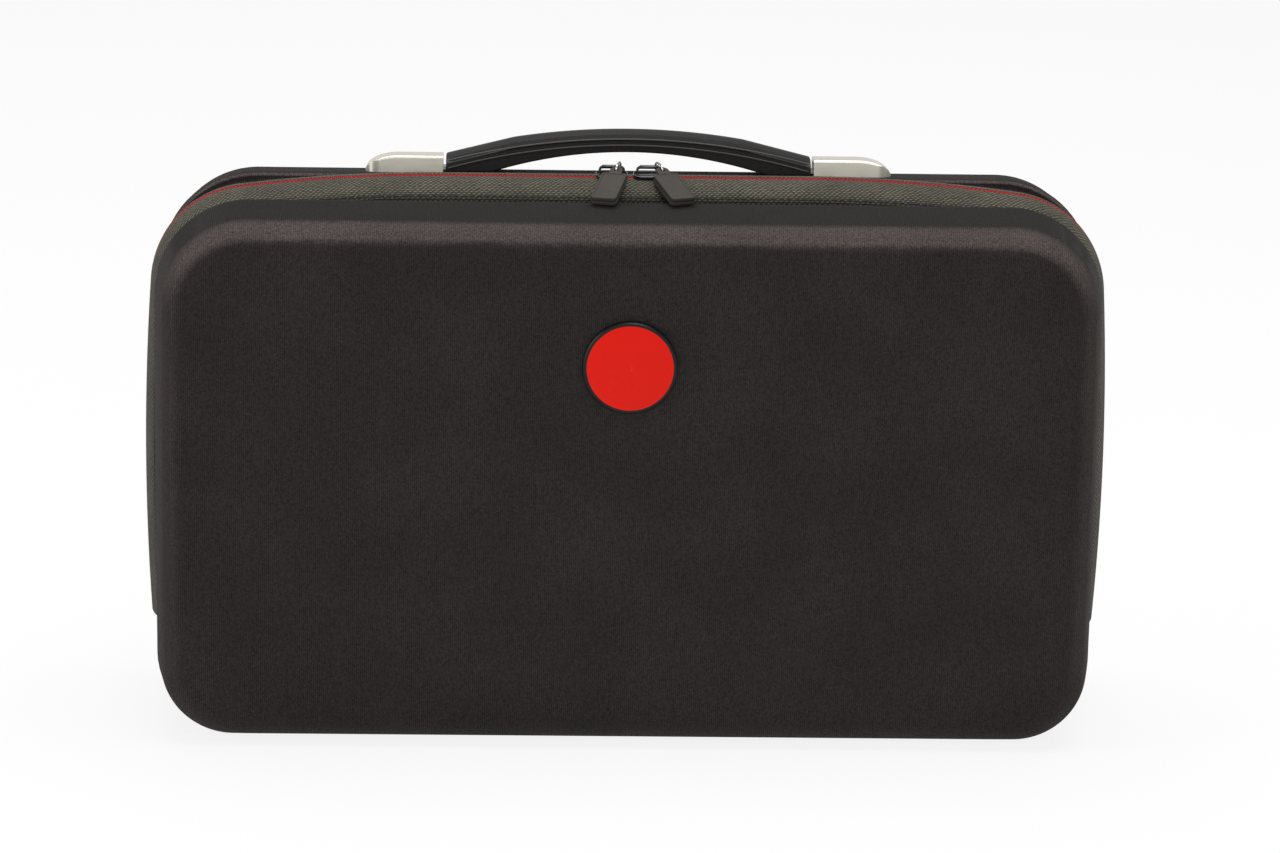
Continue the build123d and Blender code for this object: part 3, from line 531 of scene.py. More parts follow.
class Finishes:
    """Every finish of the case, made once."""

    def __init__(self) -> None:
        """Build all the materials."""
        self.shell = ShellCloth().build()
        self.tape_front = TapeCloth().build()
        # the back tape's finer cord and opposite slant are its own weave; its paler light colour is a painted
        # highlight
        self.tape_back = TapeCloth("zip tape back", (0.0050, 0.0045, 0.0034), (0.300, 0.276, 0.212),
                                   cord=1.6 * MM, slant=-0.9).build()
        self.trim = TrimCloth().build()
        self.webbing = TrimCloth("webbing", (0.008, 0.0078, 0.0075), (0.036, 0.034, 0.032),
                                 rib=2.0 * MM).build()
        self.lining = Napped().build()
        self.foam = Napped("flocked foam", (0.010, 0.010, 0.011), (0.050, 0.049, 0.052),
                           grain=1400.0, depth=0.2 * MM, sheen=0.7).build()
        self.hooks = Napped("hook strip", (0.004, 0.004, 0.004), (0.045, 0.045, 0.045),
                            grain=900.0, depth=0.5 * MM, sheen=0.1).build()
        self.net = NetCloth().build()
        self.coil = Moulded("coil nylon", (0.50, 0.004, 0.007), 0.45, grain=1800.0, depth=0.01 * MM,
                            shine=0.12).build()
        self.enamel = Moulded("black enamel", (0.006, 0.006, 0.006), 0.14, grain=900.0, depth=0.004 * MM,
                              coat=0.8).build()
        self.wire = Metal("nickel wire", (0.80, 0.79, 0.77), 0.16).build()
        self.tab = Moulded("tab rubber", (0.048, 0.042, 0.036), 0.6, grain=1300.0, depth=0.05 * MM,
                           shine=0.2, vary=0.4).build()
        self.badge = Moulded("badge red", (0.76, 0.012, 0.005), 0.3, grain=600.0, depth=0.002 * MM,
                             shine=0.1, vary=0.03).build()
        self.badge_rim = Moulded("badge rim", (0.007, 0.006, 0.006), 0.3, depth=0.01 * MM, shine=0.25).build()
        self.cap = Metal("cap lacquer", (0.80, 0.765, 0.665), 0.34, grain=3200.0, depth=0.006 * MM,
                         metallic=0.75, coat=0.3).build()
        self.grip = GripRubber().build()
        # painted highlight: the ribs are several times lighter than the grip, where their ridges catch the
        # light
        self.rib = Moulded("rib rubber painted highlight", (0.085, 0.079, 0.072), 0.5, depth=0.02 * MM, shine=0.3).build()
        self.steel = Metal("strap steel", (0.55, 0.54, 0.52), 0.3, stretch=(0.05, 1.0, 1.0)).build()
        self.screw = Metal("screw steel", (0.50, 0.50, 0.49), 0.28).build()
        self.plate = Moulded("backing plate", (0.018, 0.018, 0.018), 0.6).build()


# ----------------------------------------------------------------- the workshop
def only(geom: Iterable, kind: type) -> list:
    """The vertices, edges or faces among some geometry, as kind says."""
    return [item for item in geom if isinstance(item, kind)]


class Bench:
    """A mesh in the making, by operators, and its way into the scene."""

    def __init__(self) -> None:
        """Start an empty mesh."""
        self.bm = bmesh.new()

    def creases(self, angle: float) -> list[bmesh.types.BMEdge]:
        """Edges between two faces that meet at more than an angle in degrees."""
        return [e for e in self.bm.edges if e.calc_face_angle(0.0) > math.radians(angle)]

    def block(self, low: Sequence[float], high: Sequence[float]) -> list[bmesh.types.BMVert]:
        """Add a box.

        Args:
            low: Its lowest corner.
            high: Its highest corner.

        Returns:
            Its vertices.
        """
        size = [b - a for a, b in zip(low, high)]
        middle = [(a + b) / 2 for a, b in zip(low, high)]
        matrix = Matrix.Translation(middle) @ Matrix.Diagonal((*size, 1.0))
        return bmesh.ops.create_cube(self.bm, size=1.0, matrix=matrix)["verts"]

    def edges(self, test: Callable[[Vector, Vector], bool]) -> list[bmesh.types.BMEdge]:
        """Edges whose two ends pass a test.

        Args:
            test: Takes the ends' places.

        Returns:
            The edges that pass.
        """
        return [e for e in self.bm.edges if test(e.verts[0].co, e.verts[1].co)]

    def round(self, edges: Iterable[bmesh.types.BMEdge], radius: float, segments: int = 3) -> None:
        """Round edges off.

        Args:
            edges: The edges.
            radius: The width of the rounding.
            segments: How many facets it gets.
        """
        bmesh.ops.bevel(self.bm, geom=list(edges), offset=radius, offset_type="OFFSET",
                        segments=segments, profile=0.5, affect="EDGES", material=-1,
                        clamp_overlap=True)

    def slice_along(self, axis: int, low: float, high: float, cuts: int) -> None:
        """Cut the mesh into even slices across an axis.

        Args:
            axis: 0, 1 or 2.
            low: Where the slices start.
            high: Where they end.
            cuts: How many planes cut it.
        """
        normal = Vector((0, 0, 0))
        normal[axis] = 1.0
        for step in range(1, cuts + 1):
            point = Vector((0, 0, 0))
            point[axis] = low + (high - low) * step / (cuts + 1)
            geom = [*self.bm.verts, *self.bm.edges, *self.bm.faces]
            bmesh.ops.bisect_plane(self.bm, geom=geom, plane_co=point, plane_no=normal, dist=LEVEL)

    def row(self, points: Iterable[Sequence[float]]) -> list[bmesh.types.BMEdge]:
        """Add an open row of edges.

        Args:
            points: The places of its vertices, in order.

        Returns:
            Its edges.
        """
        verts = [self.bm.verts.new(point) for point in points]
        return [self.bm.edges.new(pair) for pair in zip(verts, verts[1:])]

    def spin(self, geom: list, centre: Sequence[float], axis: Sequence[float], angle: float, steps: int,
             merge: bool = False) -> list:
        """Sweep some geometry round an axis.

        Args:
            geom: What is swept.
            centre: A point on the axis.
            axis: The axis.
            angle: How far it goes, in radians.
            steps: How many slices it leaves.
            merge: Whether a full turn closes on itself.

        Returns:
            The geometry at the end of the sweep.
        """
        spun = bmesh.ops.spin(self.bm, geom=geom, cent=centre, axis=axis, dvec=(0, 0, 0), angle=angle,
                              steps=steps, use_merge=merge, use_normal_flip=False, use_duplicate=False)
        return spun["geom_last"]

    def draw_edges(self, edges: list[bmesh.types.BMEdge], vec: Sequence[float]) -> list[bmesh.types.BMEdge]:
        """Draw open edges out.

        Args:
            edges: The edges.
            vec: How far, and which way.

        Returns:
            The edges at the new end.
        """
        geom = bmesh.ops.extrude_edge_only(self.bm, edges=edges)["geom"]
        bmesh.ops.translate(self.bm, verts=only(geom, bmesh.types.BMVert), vec=vec)
        return only(geom, bmesh.types.BMEdge)

    def draw_faces(self, faces: list[bmesh.types.BMFace], vec: Sequence[float]) -> list[bmesh.types.BMFace]:
        """Draw faces out and leave the space behind them open.

        Args:
            faces: The faces.
            vec: How far, and which way.

        Returns:
            The faces at the new end.
        """
        geom = bmesh.ops.extrude_face_region(self.bm, geom=faces)["geom"]
        bmesh.ops.translate(self.bm, verts=only(geom, bmesh.types.BMVert), vec=vec)
        bmesh.ops.delete(self.bm, geom=faces, context="FACES_ONLY")
        return only(geom, bmesh.types.BMFace)

    def ring(self, radius: float, segments: int, matrix: Matrix) -> tuple[list, list]:
        """Add an open circle.

        Args:
            radius: Its radius.
            segments: How many edges it has.
            matrix: Its place.

        Returns:
            Its vertices and its edges.
        """
        verts = bmesh.ops.create_circle(self.bm, segments=segments, radius=radius, cap_ends=False,
                                        matrix=matrix)["verts"]
        return verts, list({edge for vert in verts for edge in vert.link_edges})

    def lathe(self, points: Iterable[Sequence[float]], axis: Sequence[float], sides: int) -> None:
        """Turn an outline all the way round an axis through the origin.

        Args:
            points: The outline, from pole to pole.
            axis: The axis.
            sides: How many sides it gets.
        """
        self.spin(self.row(points), (0, 0, 0), axis, math.tau, sides, merge=True)
        self.tidy()

    def mirror(self) -> None:
        """Add the mirror image across the middle of the case, joined where the two meet."""
        whole = [*self.bm.verts, *self.bm.edges, *self.bm.faces]
        bmesh.ops.mirror(self.bm, geom=whole, axis="X", merge_dist=JOIN, matrix=Matrix.Identity(4))

    def take(self, other: "Bench") -> None:
        """Add another mesh to this one, and clear the other away.

        Args:
            other: The bench that holds it.
        """
        part = other.mesh("part")
        self.bm.from_mesh(part)
        bpy.data.meshes.remove(part)

    def repeat(self, pattern: "Bench", places: Iterable[Matrix]) -> None:
        """Set copies of a small mesh at many places, and clear the small mesh away.

        Args:
            pattern: The bench that holds it.
            places: Where the copies go.
        """
        part = pattern.mesh("pattern")
        for place in places:
            before = len(self.bm.verts)
            self.bm.from_mesh(part)
            self.bm.verts.ensure_lookup_table()
            bmesh.ops.transform(self.bm, matrix=place, verts=self.bm.verts[before:])
        bpy.data.meshes.remove(part)

    def place(self, matrix: Matrix) -> None:
        """Move the whole mesh.

        Args:
            matrix: The move.
        """
        bmesh.ops.transform(self.bm, matrix=matrix, verts=self.bm.verts)

    def tidy(self) -> None:
        """Merge doubles and turn every face outwards."""
        bmesh.ops.remove_doubles(self.bm, verts=self.bm.verts, dist=JOIN)
        bmesh.ops.recalc_face_normals(self.bm, faces=self.bm.faces)

    def mesh(self, name: str) -> Mesh:
        """Write the mesh out.

        Args:
            name: Its name.

        Returns:
            The mesh datablock.
        """
        data = bpy.data.meshes.new(name)
        self.bm.to_mesh(data)
        self.bm.free()
        return data

    def piece(self, name: str, body: Body, finish: Material, slot: str, smooth: float = 35.0,
              replaces: Sequence[str] = ()) -> Object:
        """Make the finished piece and set it on its body.

        Args:
            name: The piece's name.
            body: The body that it rides on.
            finish: Its material.
            slot: Not used.
            smooth: The angle in degrees up to which faces shade smoothly.
            replaces: The nodes that it stands for.

        Returns:
            The object.
        """
        data = self.mesh(name)
        data.materials.append(finish)
        return seat(bpy.data.objects.new(name, data), body, smooth, replaces)


def seat(piece: Object, body: Body, smooth: float = 35.0, replaces: Sequence[str] = ()) -> Object:
    """Link a piece into the scene, shade it and let it ride.

    Args:
        piece: The object, at the origin with its place in its mesh.
        body: The body that it rides on.
        smooth: The angle in degrees up to which faces shade smoothly.
        replaces: The nodes that it stands for.

    Returns:
        The same object.
    """
    bpy.context.scene.collection.objects.link(piece)
    piece.data.shade_smooth()
    piece.data.set_sharp_from_angle(angle=math.radians(smooth))
    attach(piece, body.value)
    if replaces:
        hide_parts(*replaces)
    log.info("%s rides on %s with %d faces", piece.name, body.value, len(piece.data.polygons))
    return piece


@dataclass(frozen=True)
class FootCorner:
    """The lower corners, which stand squarer once the cloth is drawn over them."""

    side: float = 155.0 * MM
    level: float = 40.0 * MM
    radius: float = 40.0 * MM
    drawn: float = 32.0 * MM

    def settle(self, place: Vector) -> Vector:
        """Where a point of a soft piece ends up.

        Args:
            place: The point on the plain solid.

        Returns:
            The point, moved outwards in a lower corner and left alone elsewhere.
        """
        out, down = abs(place.x) - self.side, self.level - place.z
        if out <= 0 or down <= 0:
            return place.copy()
        angle = math.atan2(down, out)
        inset = self.radius - self.drawn
        flat = min(math.cos(angle), math.sin(angle)) * self.radius / max(math.cos(angle), math.sin(angle))
        if flat <= inset:
            reach = self.radius / max(math.cos(angle), math.sin(angle))
        else:
            along = math.cos(angle) + math.sin(angle)
            reach = inset * along + math.sqrt(self.drawn**2 - inset**2 * (2 - along**2))
        scale = reach / self.radius
        return Vector((math.copysign(self.side + out * scale, place.x), place.y, self.level - down * scale))


FOOT = FootCorner()


@dataclass
class SoftPiece:
    """A cloth or foam piece worked up from its plain solid."""

    node: str
    body: Body
    finish: Material
    slot: str
    soften: float = 0.0
    pitch: float = 0.0
    ripple: float = 0.0
    wave: float = 30.0 * MM
    corners: bool = False
    meets: float = 0.0
    smooth: float = 35.0

    def build(self, name: str) -> Object:
        """Merge a copy, soften its edges, cut it into small faces and let it ripple.

        Args:
            name: The piece's name.

        Returns:
            The object.
        """
        bench = Bench()
        bench.bm.from_mesh(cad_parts[self.node].data)
        bmesh.ops.remove_doubles(bench.bm, verts=bench.bm.verts, dist=0.01 * MM)
        if self.soften:
            bmesh.ops.dissolve_limit(bench.bm, angle_limit=math.radians(1.5), verts=bench.bm.verts,
                                     edges=bench.bm.edges, use_dissolve_boundaries=False)
            bench.round(bench.creases(50.0), self.soften, 2)
            bmesh.ops.triangulate(bench.bm, faces=bench.bm.faces)
        if self.pitch:
            low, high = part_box(self.node)
            for axis in range(3):
                bench.slice_along(axis, low[axis], high[axis], int((high[axis] - low[axis]) / self.pitch))
        bench.bm.normal_update()
        moves = [(v, v.normal * self.ripple * noise.noise(v.co / self.wave)) for v in bench.bm.verts]
        for vert, move in moves:
            vert.co += move
            if abs(vert.co.y) < self.meets:
                vert.co.y = 0.0
            if self.corners:
                vert.co = FOOT.settle(vert.co)
        piece = bench.piece(name, self.body, self.finish, self.slot, self.smooth, (self.node,))
        own = piece.data.attributes.get("custom_normal")
        if own:
            piece.data.attributes.remove(own)
        even = piece.modifiers.new("even normals", "WEIGHTED_NORMAL")
        even.keep_sharp = True
        return piece


def dress(node: str, finish: Material) -> None:
    """Give a carried-over node its finish.

    Args:
        node: The node's name.
        finish: The material.
    """
    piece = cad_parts[node]
    for held in piece.material_slots:
        held.material = finish
    log.info("%s keeps its own form", node)


# --------------------------------------------------------------------- zip band
@dataclass(frozen=True)
class Arc:
    """One arc of the chain line. Its angles are measured from straight up, towards the right."""

    radius: float
    centre: tuple[float, float]
    start: float
    turn: float
    slices: int

    @property
    def length(self) -> float:
        """Length along the arc."""
        return self.radius * self.turn

    def follow(self, angle: float, radius: float) -> tuple[float, float]:
        """The point (x, z) at an angle and a distance from the centre."""
        return self.centre[0] + radius * math.sin(angle), self.centre[1] + radius * math.cos(angle)


@dataclass(frozen=True)
class ChainLine:
    """The line where the zip's two halves meet, from the top's middle down each side."""

    top: float = 231.5 * MM
    straight: float = 75.0 * MM
    shoulder: float = 650.0 * MM
    corner: float = 42.0 * MM
    widest: float = 200.3 * MM
    widest_level: float = 111.5 * MM
    end_level: float = 43.5 * MM
    draw_in: float = 2.1 * MM

    @property
    def side(self) -> float:
        """Radius of the side, which bows in by draw_in between its widest point and the zip's end."""
        return ((self.widest_level - self.end_level) ** 2 + self.draw_in**2) / (2 * self.draw_in)

    def turns(self) -> tuple[float, float, float]:
        """How far the shoulder, the corner and the side turn, each touching the next."""
        upper, lower = self.shoulder - self.corner, self.side - self.corner
        gap_x = self.widest - self.side - self.straight
        gap_z = self.widest_level - (self.top - self.shoulder)
        gap, bearing = math.hypot(gap_x, gap_z), math.atan2(gap_z, gap_x)
        shoulder_end = bearing - math.acos((upper**2 + gap**2 - lower**2) / (2 * upper * gap))
        side_start = bearing - math.pi + math.acos((lower**2 + gap**2 - upper**2) / (2 * lower * gap))
        side_end = -math.asin((self.widest_level - self.end_level) / self.side)
        return math.pi / 2 - shoulder_end, shoulder_end - side_start, side_start - side_end

    @cached_property
    def arcs(self) -> tuple[Arc, Arc, Arc]:
        """The arcs of the right half, from the top down."""
        shoulder_turn, corner_turn, side_turn = (
            math.radians(round(math.degrees(turn), PLACES)) for turn in self.turns())
        bow = round(self.side, PLACES)
        shoulder = Arc(self.shoulder, (self.straight, self.top - self.shoulder), 0.0, shoulder_turn, 10)
        corner = Arc(self.corner, shoulder.follow(shoulder_turn, self.shoulder - self.corner),
                     shoulder_turn, corner_turn, 22)
        turned = shoulder_turn + corner_turn
        side = Arc(bow, corner.follow(turned, self.corner - bow), turned, side_turn, 14)
        return shoulder, corner, side

    @property
    def half_length(self) -> float:
        """Length from the top's middle to one end."""
        return self.straight + sum(arc.length for arc in self.arcs)

    def station(self, distance: float) -> Matrix:
        """The place at a distance along the line.

        Args:
            distance: Metres from the top's middle, positive to the right.

        Returns:
            A matrix whose X runs along the line, Y to the back and Z outwards.
        """
        left = abs(distance) - self.straight
        if left <= 0:
            return Matrix.Translation((distance, 0, self.top))
        for arc in self.arcs:
            if left <= arc.length:
                break
            left -= arc.length
        else:
            raise ValueError("beyond the end of the zip")
        angle = arc.start + left / arc.radius
        x, z = arc.follow(angle, arc.radius)
        hand = math.copysign(1.0, distance)
        return Matrix.Translation((hand * x, 0, z)) @ Matrix.Rotation(hand * angle, 4, "Y")

    def distance(self, x: float, z: float) -> float:
        """How far along the line a point lies.

        Args:
            x: The point's X.
            z: The point's Z.

        Returns:
            Metres from the top's middle, negative on the left.
        """
        if abs(x) <= self.straight:
            return x
        total = self.straight
        for arc in self.arcs:
            angle = math.atan2(abs(x) - arc.centre[0], z - arc.centre[1]) - arc.start
            if angle <= arc.turn or arc is self.arcs[-1]:
                break
            total += arc.length
        return math.copysign(total + arc.radius * angle, x)


CHAIN = ChainLine()


@dataclass
class ZipHalf:
    """One half's tape, coil teeth and seams."""

    half: Half
    finishes: Finishes
    reach: float = 20.0 * MM
    drop: float = 6.2 * MM
    gap: float = 1.2 * MM
    curl: float = 0.55 * MM
    wall: float = 0.9 * MM
    tooth_pitch: float = 1.7 * MM
    tooth_reach: float = 3.0 * MM
    tooth_wire: float = 0.36 * MM
    tooth_head: float = 0.48 * MM
    tooth_level: float = 0.45 * MM
    stitch_pitch: float = 3.1 * MM
    stitch_wire: float = 0.26 * MM
    stitch_row: float = 17.6 * MM
    straight_slices: int = 6
    rows: int = 9
    tuck: float = 0.06 * MM
    tuck_drop: float = 1.45 * MM
    lip: float = 0.05 * MM
    fold: float = 0.35 * MM
    crossing: float = 0.32 * MM
    tooth_sides: int = 7
    stitch_sides: int = 6
    top_zone: float = 200.0 * MM

    def fall(self, y: float) -> float:
        """How far the tape lies below the chain line.

        Args:
            y: The distance from the parting plane.

        Returns:
            The drop in metres.
        """
        radius = (self.reach**2 + self.drop**2) / (2 * self.drop)
        return radius - math.sqrt(radius**2 - y**2)

    def on_top(self, place: Vector) -> bool:
        """Whether a point lies on the tape's open part over the top, where outwards is up."""
        return place.z > self.top_zone and abs(place.y) > self.reach / 2

    def sweep(self, bench: Bench, profile: Sequence[tuple[float, float]]) -> None:
        """Draw a profile along the whole chain line.

        Args:
            bench: The mesh to add to.
            profile: Points (distance from the parting plane, drop below the line).
        """
        last = bench.row((0, self.half.value * y, CHAIN.top - drop) for y, drop in profile)
        for _ in range(self.straight_slices):
            last = bench.draw_edges(last, (CHAIN.straight / self.straight_slices, 0, 0))
        for arc in CHAIN.arcs:
            centre = (arc.centre[0], 0, arc.centre[1])
            last = only(bench.spin(last, centre, (0, 1, 0), arc.turn, arc.slices), bmesh.types.BMEdge)
        bench.mirror()
        bench.tidy()

    def tape(self) -> Object:
        """Make the tape: a woven strip that bellies outwards, its inner edge turned down."""
        bench = Bench()
        rows = [self.gap + (self.reach - self.gap) * k / self.rows for k in range(self.rows + 1)]
        start = self.fall(self.gap)
        profile = [(self.tuck, self.tuck_drop), (self.gap * 0.6, self.tuck_drop - self.lip),
                   (self.gap + 2 * self.lip, start + self.curl * 1.5), (self.gap, start + self.curl * 0.6),
                   (self.gap + self.fold, start + self.lip)]
        self.sweep(bench, profile + [(y, self.fall(y)) for y in rows[1:]])
        if any(f.normal.z < 0 for f in bench.bm.faces if self.on_top(f.calc_center_median())):
            bmesh.ops.reverse_faces(bench.bm, faces=bench.bm.faces)
        weave = bench.bm.loops.layers.uv.new("weave")
        for face in bench.bm.faces:
            for loop in face.loops:
                x, y, z = loop.vert.co
                loop[weave].uv = (CHAIN.distance(x, z), abs(y))
        finish = self.finishes.tape_back if self.half is Half.BASE else self.finishes.tape_front
        word = self.half.word
        piece = bench.piece(f"{word}_woven_tape", self.half.body, finish, "zip_tape", 50.0,
                            (f"{word}_zip_tape",))
        thick = piece.modifiers.new("thickness", "SOLIDIFY")
        thick.thickness = self.wall
        thick.offset = -1.0
        2 * CHAIN.half_length
        return piece

    def teeth(self) -> Object:
        """Make the coil: a row of nylon loops whose heads meet the other half's."""
        reach, head, wire, inner = self.tooth_reach, self.tooth_head, self.tooth_wire, -self.crossing
        line = [(0.0, inner), (head * 0.75, inner + 0.1 * MM), (head, inner + 0.42 * MM),
                (wire, inner + 0.95 * MM), (wire, reach - wire), (0.0, reach)]
        tooth = Bench()
        tooth.lathe(((0, self.half.value * y, radius) for radius, y in line), (0, 1, 0), self.tooth_sides)
        start = 0.0 if self.half is Half.BASE else self.tooth_pitch / 2
        sunk = Matrix.Translation((0, 0, -self.tooth_level))
        count = int((CHAIN.half_length - 2 * MM) / self.tooth_pitch)
        bench = Bench()
        bench.repeat(tooth, (CHAIN.station(number * self.tooth_pitch + start) @ sunk
                             for number in range(-count, count)))
        word = self.half.word
        return bench.piece(f"{word}_coil_teeth", self.half.body, self.finishes.coil, "zip_coil", 60.0,
                           (f"{word}_zip_coil",))

    def seams(self) -> Object:
        """Make the row of stitches that sews the tape to the shell's lip."""
        run, wire = self.stitch_pitch * 0.4, self.stitch_wire
        line = [(0.0, -run), (wire, -run * 0.7), (wire, run * 0.7), (0.0, run)]
        stitch = Bench()
        stitch.lathe(((x, 0, radius) for radius, x in line), (1, 0, 0), self.stitch_sides)
        depth = self.fall(self.stitch_row) + wire * 0.1
        sunk = Matrix.Translation((0, self.half.value * self.stitch_row, -depth))
        count = int((CHAIN.half_length - 4 * MM) / self.stitch_pitch)
        bench = Bench()
        bench.repeat(stitch, (CHAIN.station(number * self.stitch_pitch) @ sunk
                              for number in range(-count, count + 1)))
        return bench.piece(f"{self.half.word}_tape_stitches", self.half.body, self.finishes.trim,
                           "trim_cloth", 60.0)

    def build(self) -> None:
        """Make every piece of this half's zip."""
        self.tape()
        self.teeth()
        self.seams()


# ------------------------------------------------------------- sliders and pulls
@dataclass
class ZipPull:
    """One slider with its wire link and its bare rubber tab."""

    hand: Hand
    finishes: Finishes
    x: float
    turn: float
    plate_low: float = 231.8 * MM
    plate: float = 1.2 * MM
    lower_plate: float = 226.55 * MM
    length: float = 13.0 * MM
    width: float = 11.0 * MM
    corner: float = 3.0 * MM
    crown_length: float = 11.0 * MM
    crown_width: float = 1.9 * MM
    crown_leg: float = 1.0 * MM
    crown_bar: float = 1.4 * MM
    opening: float = 1.9 * MM
    wire: float = 0.9 * MM
    bore: float = 1.4 * MM
    pitch: float = 4.2 * MM
    link_offset: float = 3.2 * MM
    slope: float = 13.94
    tab_width: float = 10.8 * MM
    tab_length: float = 27.4 * MM
    tab_thick: float = 3.5 * MM
    tab_corner: float = 1.8 * MM
    tongue_width: float = 5.4 * MM
    tongue_thick: float = 1.5 * MM
    tongue_length: float = 4.6 * MM
    eye: float = 0.95 * MM
    eye_bar: float = 0.9 * MM
    soft_edge: float = 0.42 * MM
    neck: tuple[float, float] = (1.8 * MM, 0.25 * MM)
    neck_back: float = 2.2 * MM
    crown_bend: float = 0.7 * MM
    crown_sunk: float = 0.2 * MM
    seam_gap: float = 0.12 * MM
    seam_cut: float = 0.45 * MM
    core: float = 0.7 * MM
    border: float = 1.0 * MM
    panel_slope: float = 0.18 * MM
    panel_sunk: float = 0.22 * MM

    @property
    def axis_level(self) -> float:
        """Height of the axis through the crown's bar."""
        return self.plate_low + self.plate + self.opening + self.crown_bar / 2

    def pull_place(self, slope: float, distance: float) -> Matrix:
        """Where the pull lies: X across it, -Y towards its free end.

        Args:
            slope: How far it falls to the front, in degrees.
            distance: How far along the level it starts, in metres.

        Returns:
            Its matrix.
        """
        turn = math.radians(self.turn)
        along = Vector((math.sin(turn), -math.cos(turn), 0))
        start = Vector((self.x + self.link_offset, 0, self.axis_level)) + along * distance
        return (Matrix.Translation(start) @ Matrix.Rotation(turn, 4, "Z")
                @ Matrix.Rotation(math.radians(slope), 4, "X"))

    def slider(self) -> Object:
        """Make the slider: two plates, the neck between them, and the crown."""
        bench = Bench()
        half, wide = self.length / 2, self.width / 2
        for low in (self.plate_low, self.lower_plate):
            bench.block((self.x - half, -wide, low), (self.x + half, wide, low + self.plate))
        bench.round(bench.edges(lambda a, b: abs(a.z - b.z) > self.plate * 0.9), self.corner, 6)
        bench.round(bench.edges(lambda a, b: abs(a.z - b.z) < LEVEL), self.soft_edge, 3)
        neck = self.x - self.hand.value * (half - self.neck_back)
        long, thin = self.neck
        bench.block((neck - long, -thin, self.lower_plate + 0.6 * MM),
                    (neck + long, thin, self.plate_low + 0.5 * MM))
        self.crown(bench)
        bench.tidy()
        word = self.hand.word
        return bench.piece(f"{word}_slider_body", Body[f"SLIDER_{self.hand.name}"], self.finishes.enamel,
                           "slider_metal", 40.0, (f"{word}_slider",))

    def crown(self, bench: Bench) -> None:
        """Add the arched bar that holds the link.

        Args:
            bench: The slider's mesh.
        """
        top, leg, bend = self.plate_low + self.plate, self.crown_leg, self.crown_bend
        reach, wide = self.crown_length / 2, self.crown_width / 2
        low, level = top - self.crown_sunk, top + self.opening
        strip = Bench()
        row = [strip.bm.verts.new((x, y, low)) for x in (-reach, leg - reach) for y in (-wide, wide)]
        last = [strip.bm.faces.new((row[0], row[1], row[3], row[2]))]
        last = strip.draw_faces(last, (0, 0, level - bend - low))
        end = strip.spin(last, (-reach + leg + bend, 0, level - bend), (0, 1, 0), math.radians(90), 6)
        bmesh.ops.delete(strip.bm, geom=last, context="FACES_ONLY")
        last = only(end, bmesh.types.BMFace)
        for vert in {v for f in last for v in f.verts}:
            if vert.co.z > level + 0.01 * MM:
                vert.co.z = level + self.crown_bar
        last = strip.draw_faces(last, (reach - leg - bend, 0, 0))
        bmesh.ops.delete(strip.bm, geom=last, context="FACES_ONLY")
        strip.mirror()
        strip.tidy()
        strip.round(strip.creases(60.0), self.soft_edge, 3)
        strip.place(Matrix.Translation((self.x, 0, 0)))
        bench.take(strip)

    def link(self) -> Object:
        """Make the wire link: a closed loop through the crown and the tab's eye."""
        bench = Bench()
        bend = self.bore + self.wire / 2
        upright = Matrix.Translation((0, 0, bend)) @ Matrix.Rotation(math.pi / 2, 4, "X")
        _, last = bench.ring(self.wire / 2, 12, upright)
        for centre, shift in ((-self.pitch, -self.pitch), (0.0, self.pitch)):
            last = bench.draw_edges(last, (0, shift, 0))
            last = only(bench.spin(last, (0, centre, 0), (1, 0, 0), math.pi, 14), bmesh.types.BMEdge)
        bench.tidy()
        bench.place(self.pull_place(0.0, 0.0))
        word = self.hand.word
        return bench.piece(f"{word}_link_wire", Body[f"LINK_{self.hand.name}"], self.finishes.wire,
                           "wire", 60.0, (f"{word}_pull_link",))

    def tab(self) -> Object:
        """Make the tab: two bonded rubber layers with a raised border, and a tongue with its eye."""
        bench = Bench()
        high, low = self.tongue_thick / 2, self.tongue_thick / 2 - self.tab_thick
        wide = self.tab_width / 2
        seam, cut, front, back = (high + low) / 2, self.seam_cut, -self.tab_length, -self.tongue_length
        bench.block((-wide, front, seam + self.seam_gap), (wide, back, high))
        bench.block((-wide + cut, front + cut, seam - self.core), (wide - cut, back - cut, seam + self.core))
        bench.block((-wide, front, low), (wide, back, seam - self.seam_gap))
        bench.round(bench.edges(lambda a, b: abs(a.z - b.z) > LEVEL), self.tab_corner, 6)
        for level in (high, low):
            flat = [f for f in bench.bm.faces if all(abs(v.co.z - level) < LEVEL for v in f.verts)]
            for width in (self.border, self.panel_slope) if level == high else (self.border,):
                bmesh.ops.inset_region(bench.bm, faces=flat, thickness=width, depth=0.0, use_even_offset=True)
            if level == high:
                panel = list({v for f in flat for v in f.verts})
                bmesh.ops.translate(bench.bm, verts=panel, vec=(0, 0, -self.panel_sunk))
        rims = [e for e in bench.creases(80.0) if abs(e.verts[0].co.z - e.verts[1].co.z) < LEVEL]
        bench.round(rims, self.soft_edge, 3)
        self.tongue(bench)
        bench.tidy()
        bench.place(self.pull_place(self.slope, self.pitch))
        word = self.hand.word
        return bench.piece(f"{word}_tab_moulding", Body[f"TAB_{self.hand.name}"], self.finishes.tab,
                           "tab_rubber", 40.0, (f"{word}_pull_tab",))

